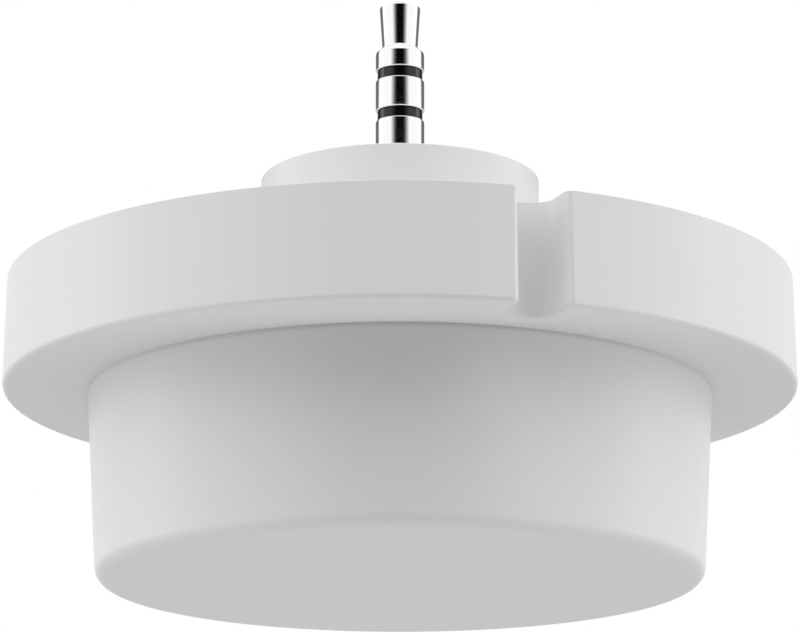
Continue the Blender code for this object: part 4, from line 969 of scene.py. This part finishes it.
def ramp(tree, value, levels):
    """Levels at even steps of a value between 0 and 1, as shares of the brightest that there may be."""
    node = tree.nodes.new("ShaderNodeValToRGB")
    stops = node.color_ramp.elements
    for index in range(1, len(levels) - 1):
        stops.new(index / (len(levels) - 1))
    for stop, level in zip(stops, levels):
        share = level / LIGHT_PEAK
        stop.color = (share, share, share, 1.0)
    tree.links.new(value, node.inputs["Fac"])
    return node.outputs["Color"]


def studio_light(tree):
    """How bright the studio is in each direction, by its height and by its turn from the camera's side."""
    place = coordinates(tree, "Generated")
    height = height_of(tree, place)
    turn = remap(tree, along(tree, place, on_circle(1.0, CAMERA_ANGLE)), -1.0, 1.0)
    over_below = remap(tree, height, *BELOW_END, "SMOOTHSTEP")
    over_beside = remap(tree, height, *ABOVE_START, "SMOOTHSTEP")
    lower = blend(tree, over_below, ramp(tree, turn, LIGHT_BELOW), ramp(tree, turn, LIGHT_BESIDE))
    whole = blend(tree, over_beside, lower, ramp(tree, turn, LIGHT_ABOVE))
    return arithmetic(tree, "MULTIPLY", whole, LIGHT_PEAK)


def mix_shaders(tree, share, first, second, output):
    mix = tree.nodes.new("ShaderNodeMixShader")
    tree.links.new(share, mix.inputs["Fac"])
    tree.links.new(first, mix.inputs[1])
    tree.links.new(second, mix.inputs[2])
    tree.links.new(mix.outputs["Shader"], tree.nodes[output].inputs["Surface"])


def world():
    """White for the camera and for reflections; for the rest, soft light that differs by direction."""
    studio = bpy.data.worlds.new("studio")
    bpy.context.scene.world = studio
    studio.use_nodes = True
    tree = studio.node_tree
    light = tree.nodes["Background"]
    white = tree.nodes.new("ShaderNodeBackground")
    for background in (light, white):
        background.inputs["Color"].default_value = (1.0, 1.0, 1.0, 1.0)
    path = tree.nodes.new("ShaderNodeLightPath")
    seen = path.outputs["Is Camera Ray"]
    for ray in ("Is Glossy Ray", "Is Transmission Ray"):
        seen = arithmetic(tree, "MAXIMUM", seen, path.outputs[ray])
    tree.links.new(studio_light(tree), light.inputs["Strength"])
    mix_shaders(tree, seen, light.outputs["Background"], white.outputs["Background"], "World Output")


def floor_share(tree):
    """The floor shows to the camera, from above, and fades out away from the object."""
    path = tree.nodes.new("ShaderNodeLightPath")
    geometry = tree.nodes.new("ShaderNodeNewGeometry")
    length = tree.nodes.new("ShaderNodeVectorMath")
    length.operation = "LENGTH"
    tree.links.new(coordinates(tree), length.inputs[0])
    above = arithmetic(tree, "SUBTRACT", 1.0, geometry.outputs["Backfacing"])
    far = remap(tree, length.outputs["Value"], *FLOOR_FADE, "SMOOTHSTEP")
    near = arithmetic(tree, "SUBTRACT", 1.0, far)
    shown = arithmetic(tree, "MULTIPLY", path.outputs["Is Camera Ray"], above)
    return arithmetic(tree, "MULTIPLY", shown, near)


def floor():
    """A pale table top that shows from above only, since the photograph looks up from below it."""
    bm = bmesh.new()
    bmesh.ops.create_circle(bm, cap_ends=True, segments=PLUG_STEPS, radius=FLOOR_FADE[1])
    obj = as_object("floor", bm)
    obj.location.z = size_at_start[0].z - FLOOR_GAP
    material = moulded("table_top", FLOOR_COLOUR, roughness=0.8, per_mm=0.5, depth=0.01 * MM)
    tree = material.node_tree
    clear = tree.nodes.new("ShaderNodeBsdfTransparent")
    top = tree.nodes["Principled BSDF"]
    mix_shaders(tree, floor_share(tree), clear.outputs["BSDF"], top.outputs["BSDF"], "Material Output")
    obj.data.materials.append(material)


def camera():
    data = bpy.data.cameras.new("camera")
    data.sensor_width = SENSOR_WIDTH
    data.lens = FOCAL_PIXELS * SENSOR_WIDTH / PHOTO_WIDTH
    data.clip_start = CLIP_START
    obj = bpy.data.objects.new("camera", data)
    bpy.context.scene.collection.objects.link(obj)
    x, y = on_circle(CAMERA_DISTANCE, CAMERA_ANGLE)
    obj.location = (x, y, CAMERA_HEIGHT)
    aim(obj, (-x, -y, CAMERA_DISTANCE * math.tan(CAMERA_PITCH)))
    bpy.context.scene.camera = obj


dress_object()
lamp("lamp_left", -LAMP_TURN)
lamp("lamp_right", LAMP_TURN)
cards()
world()
floor()
camera()
bpy.context.scene.view_settings.view_transform = "Standard"
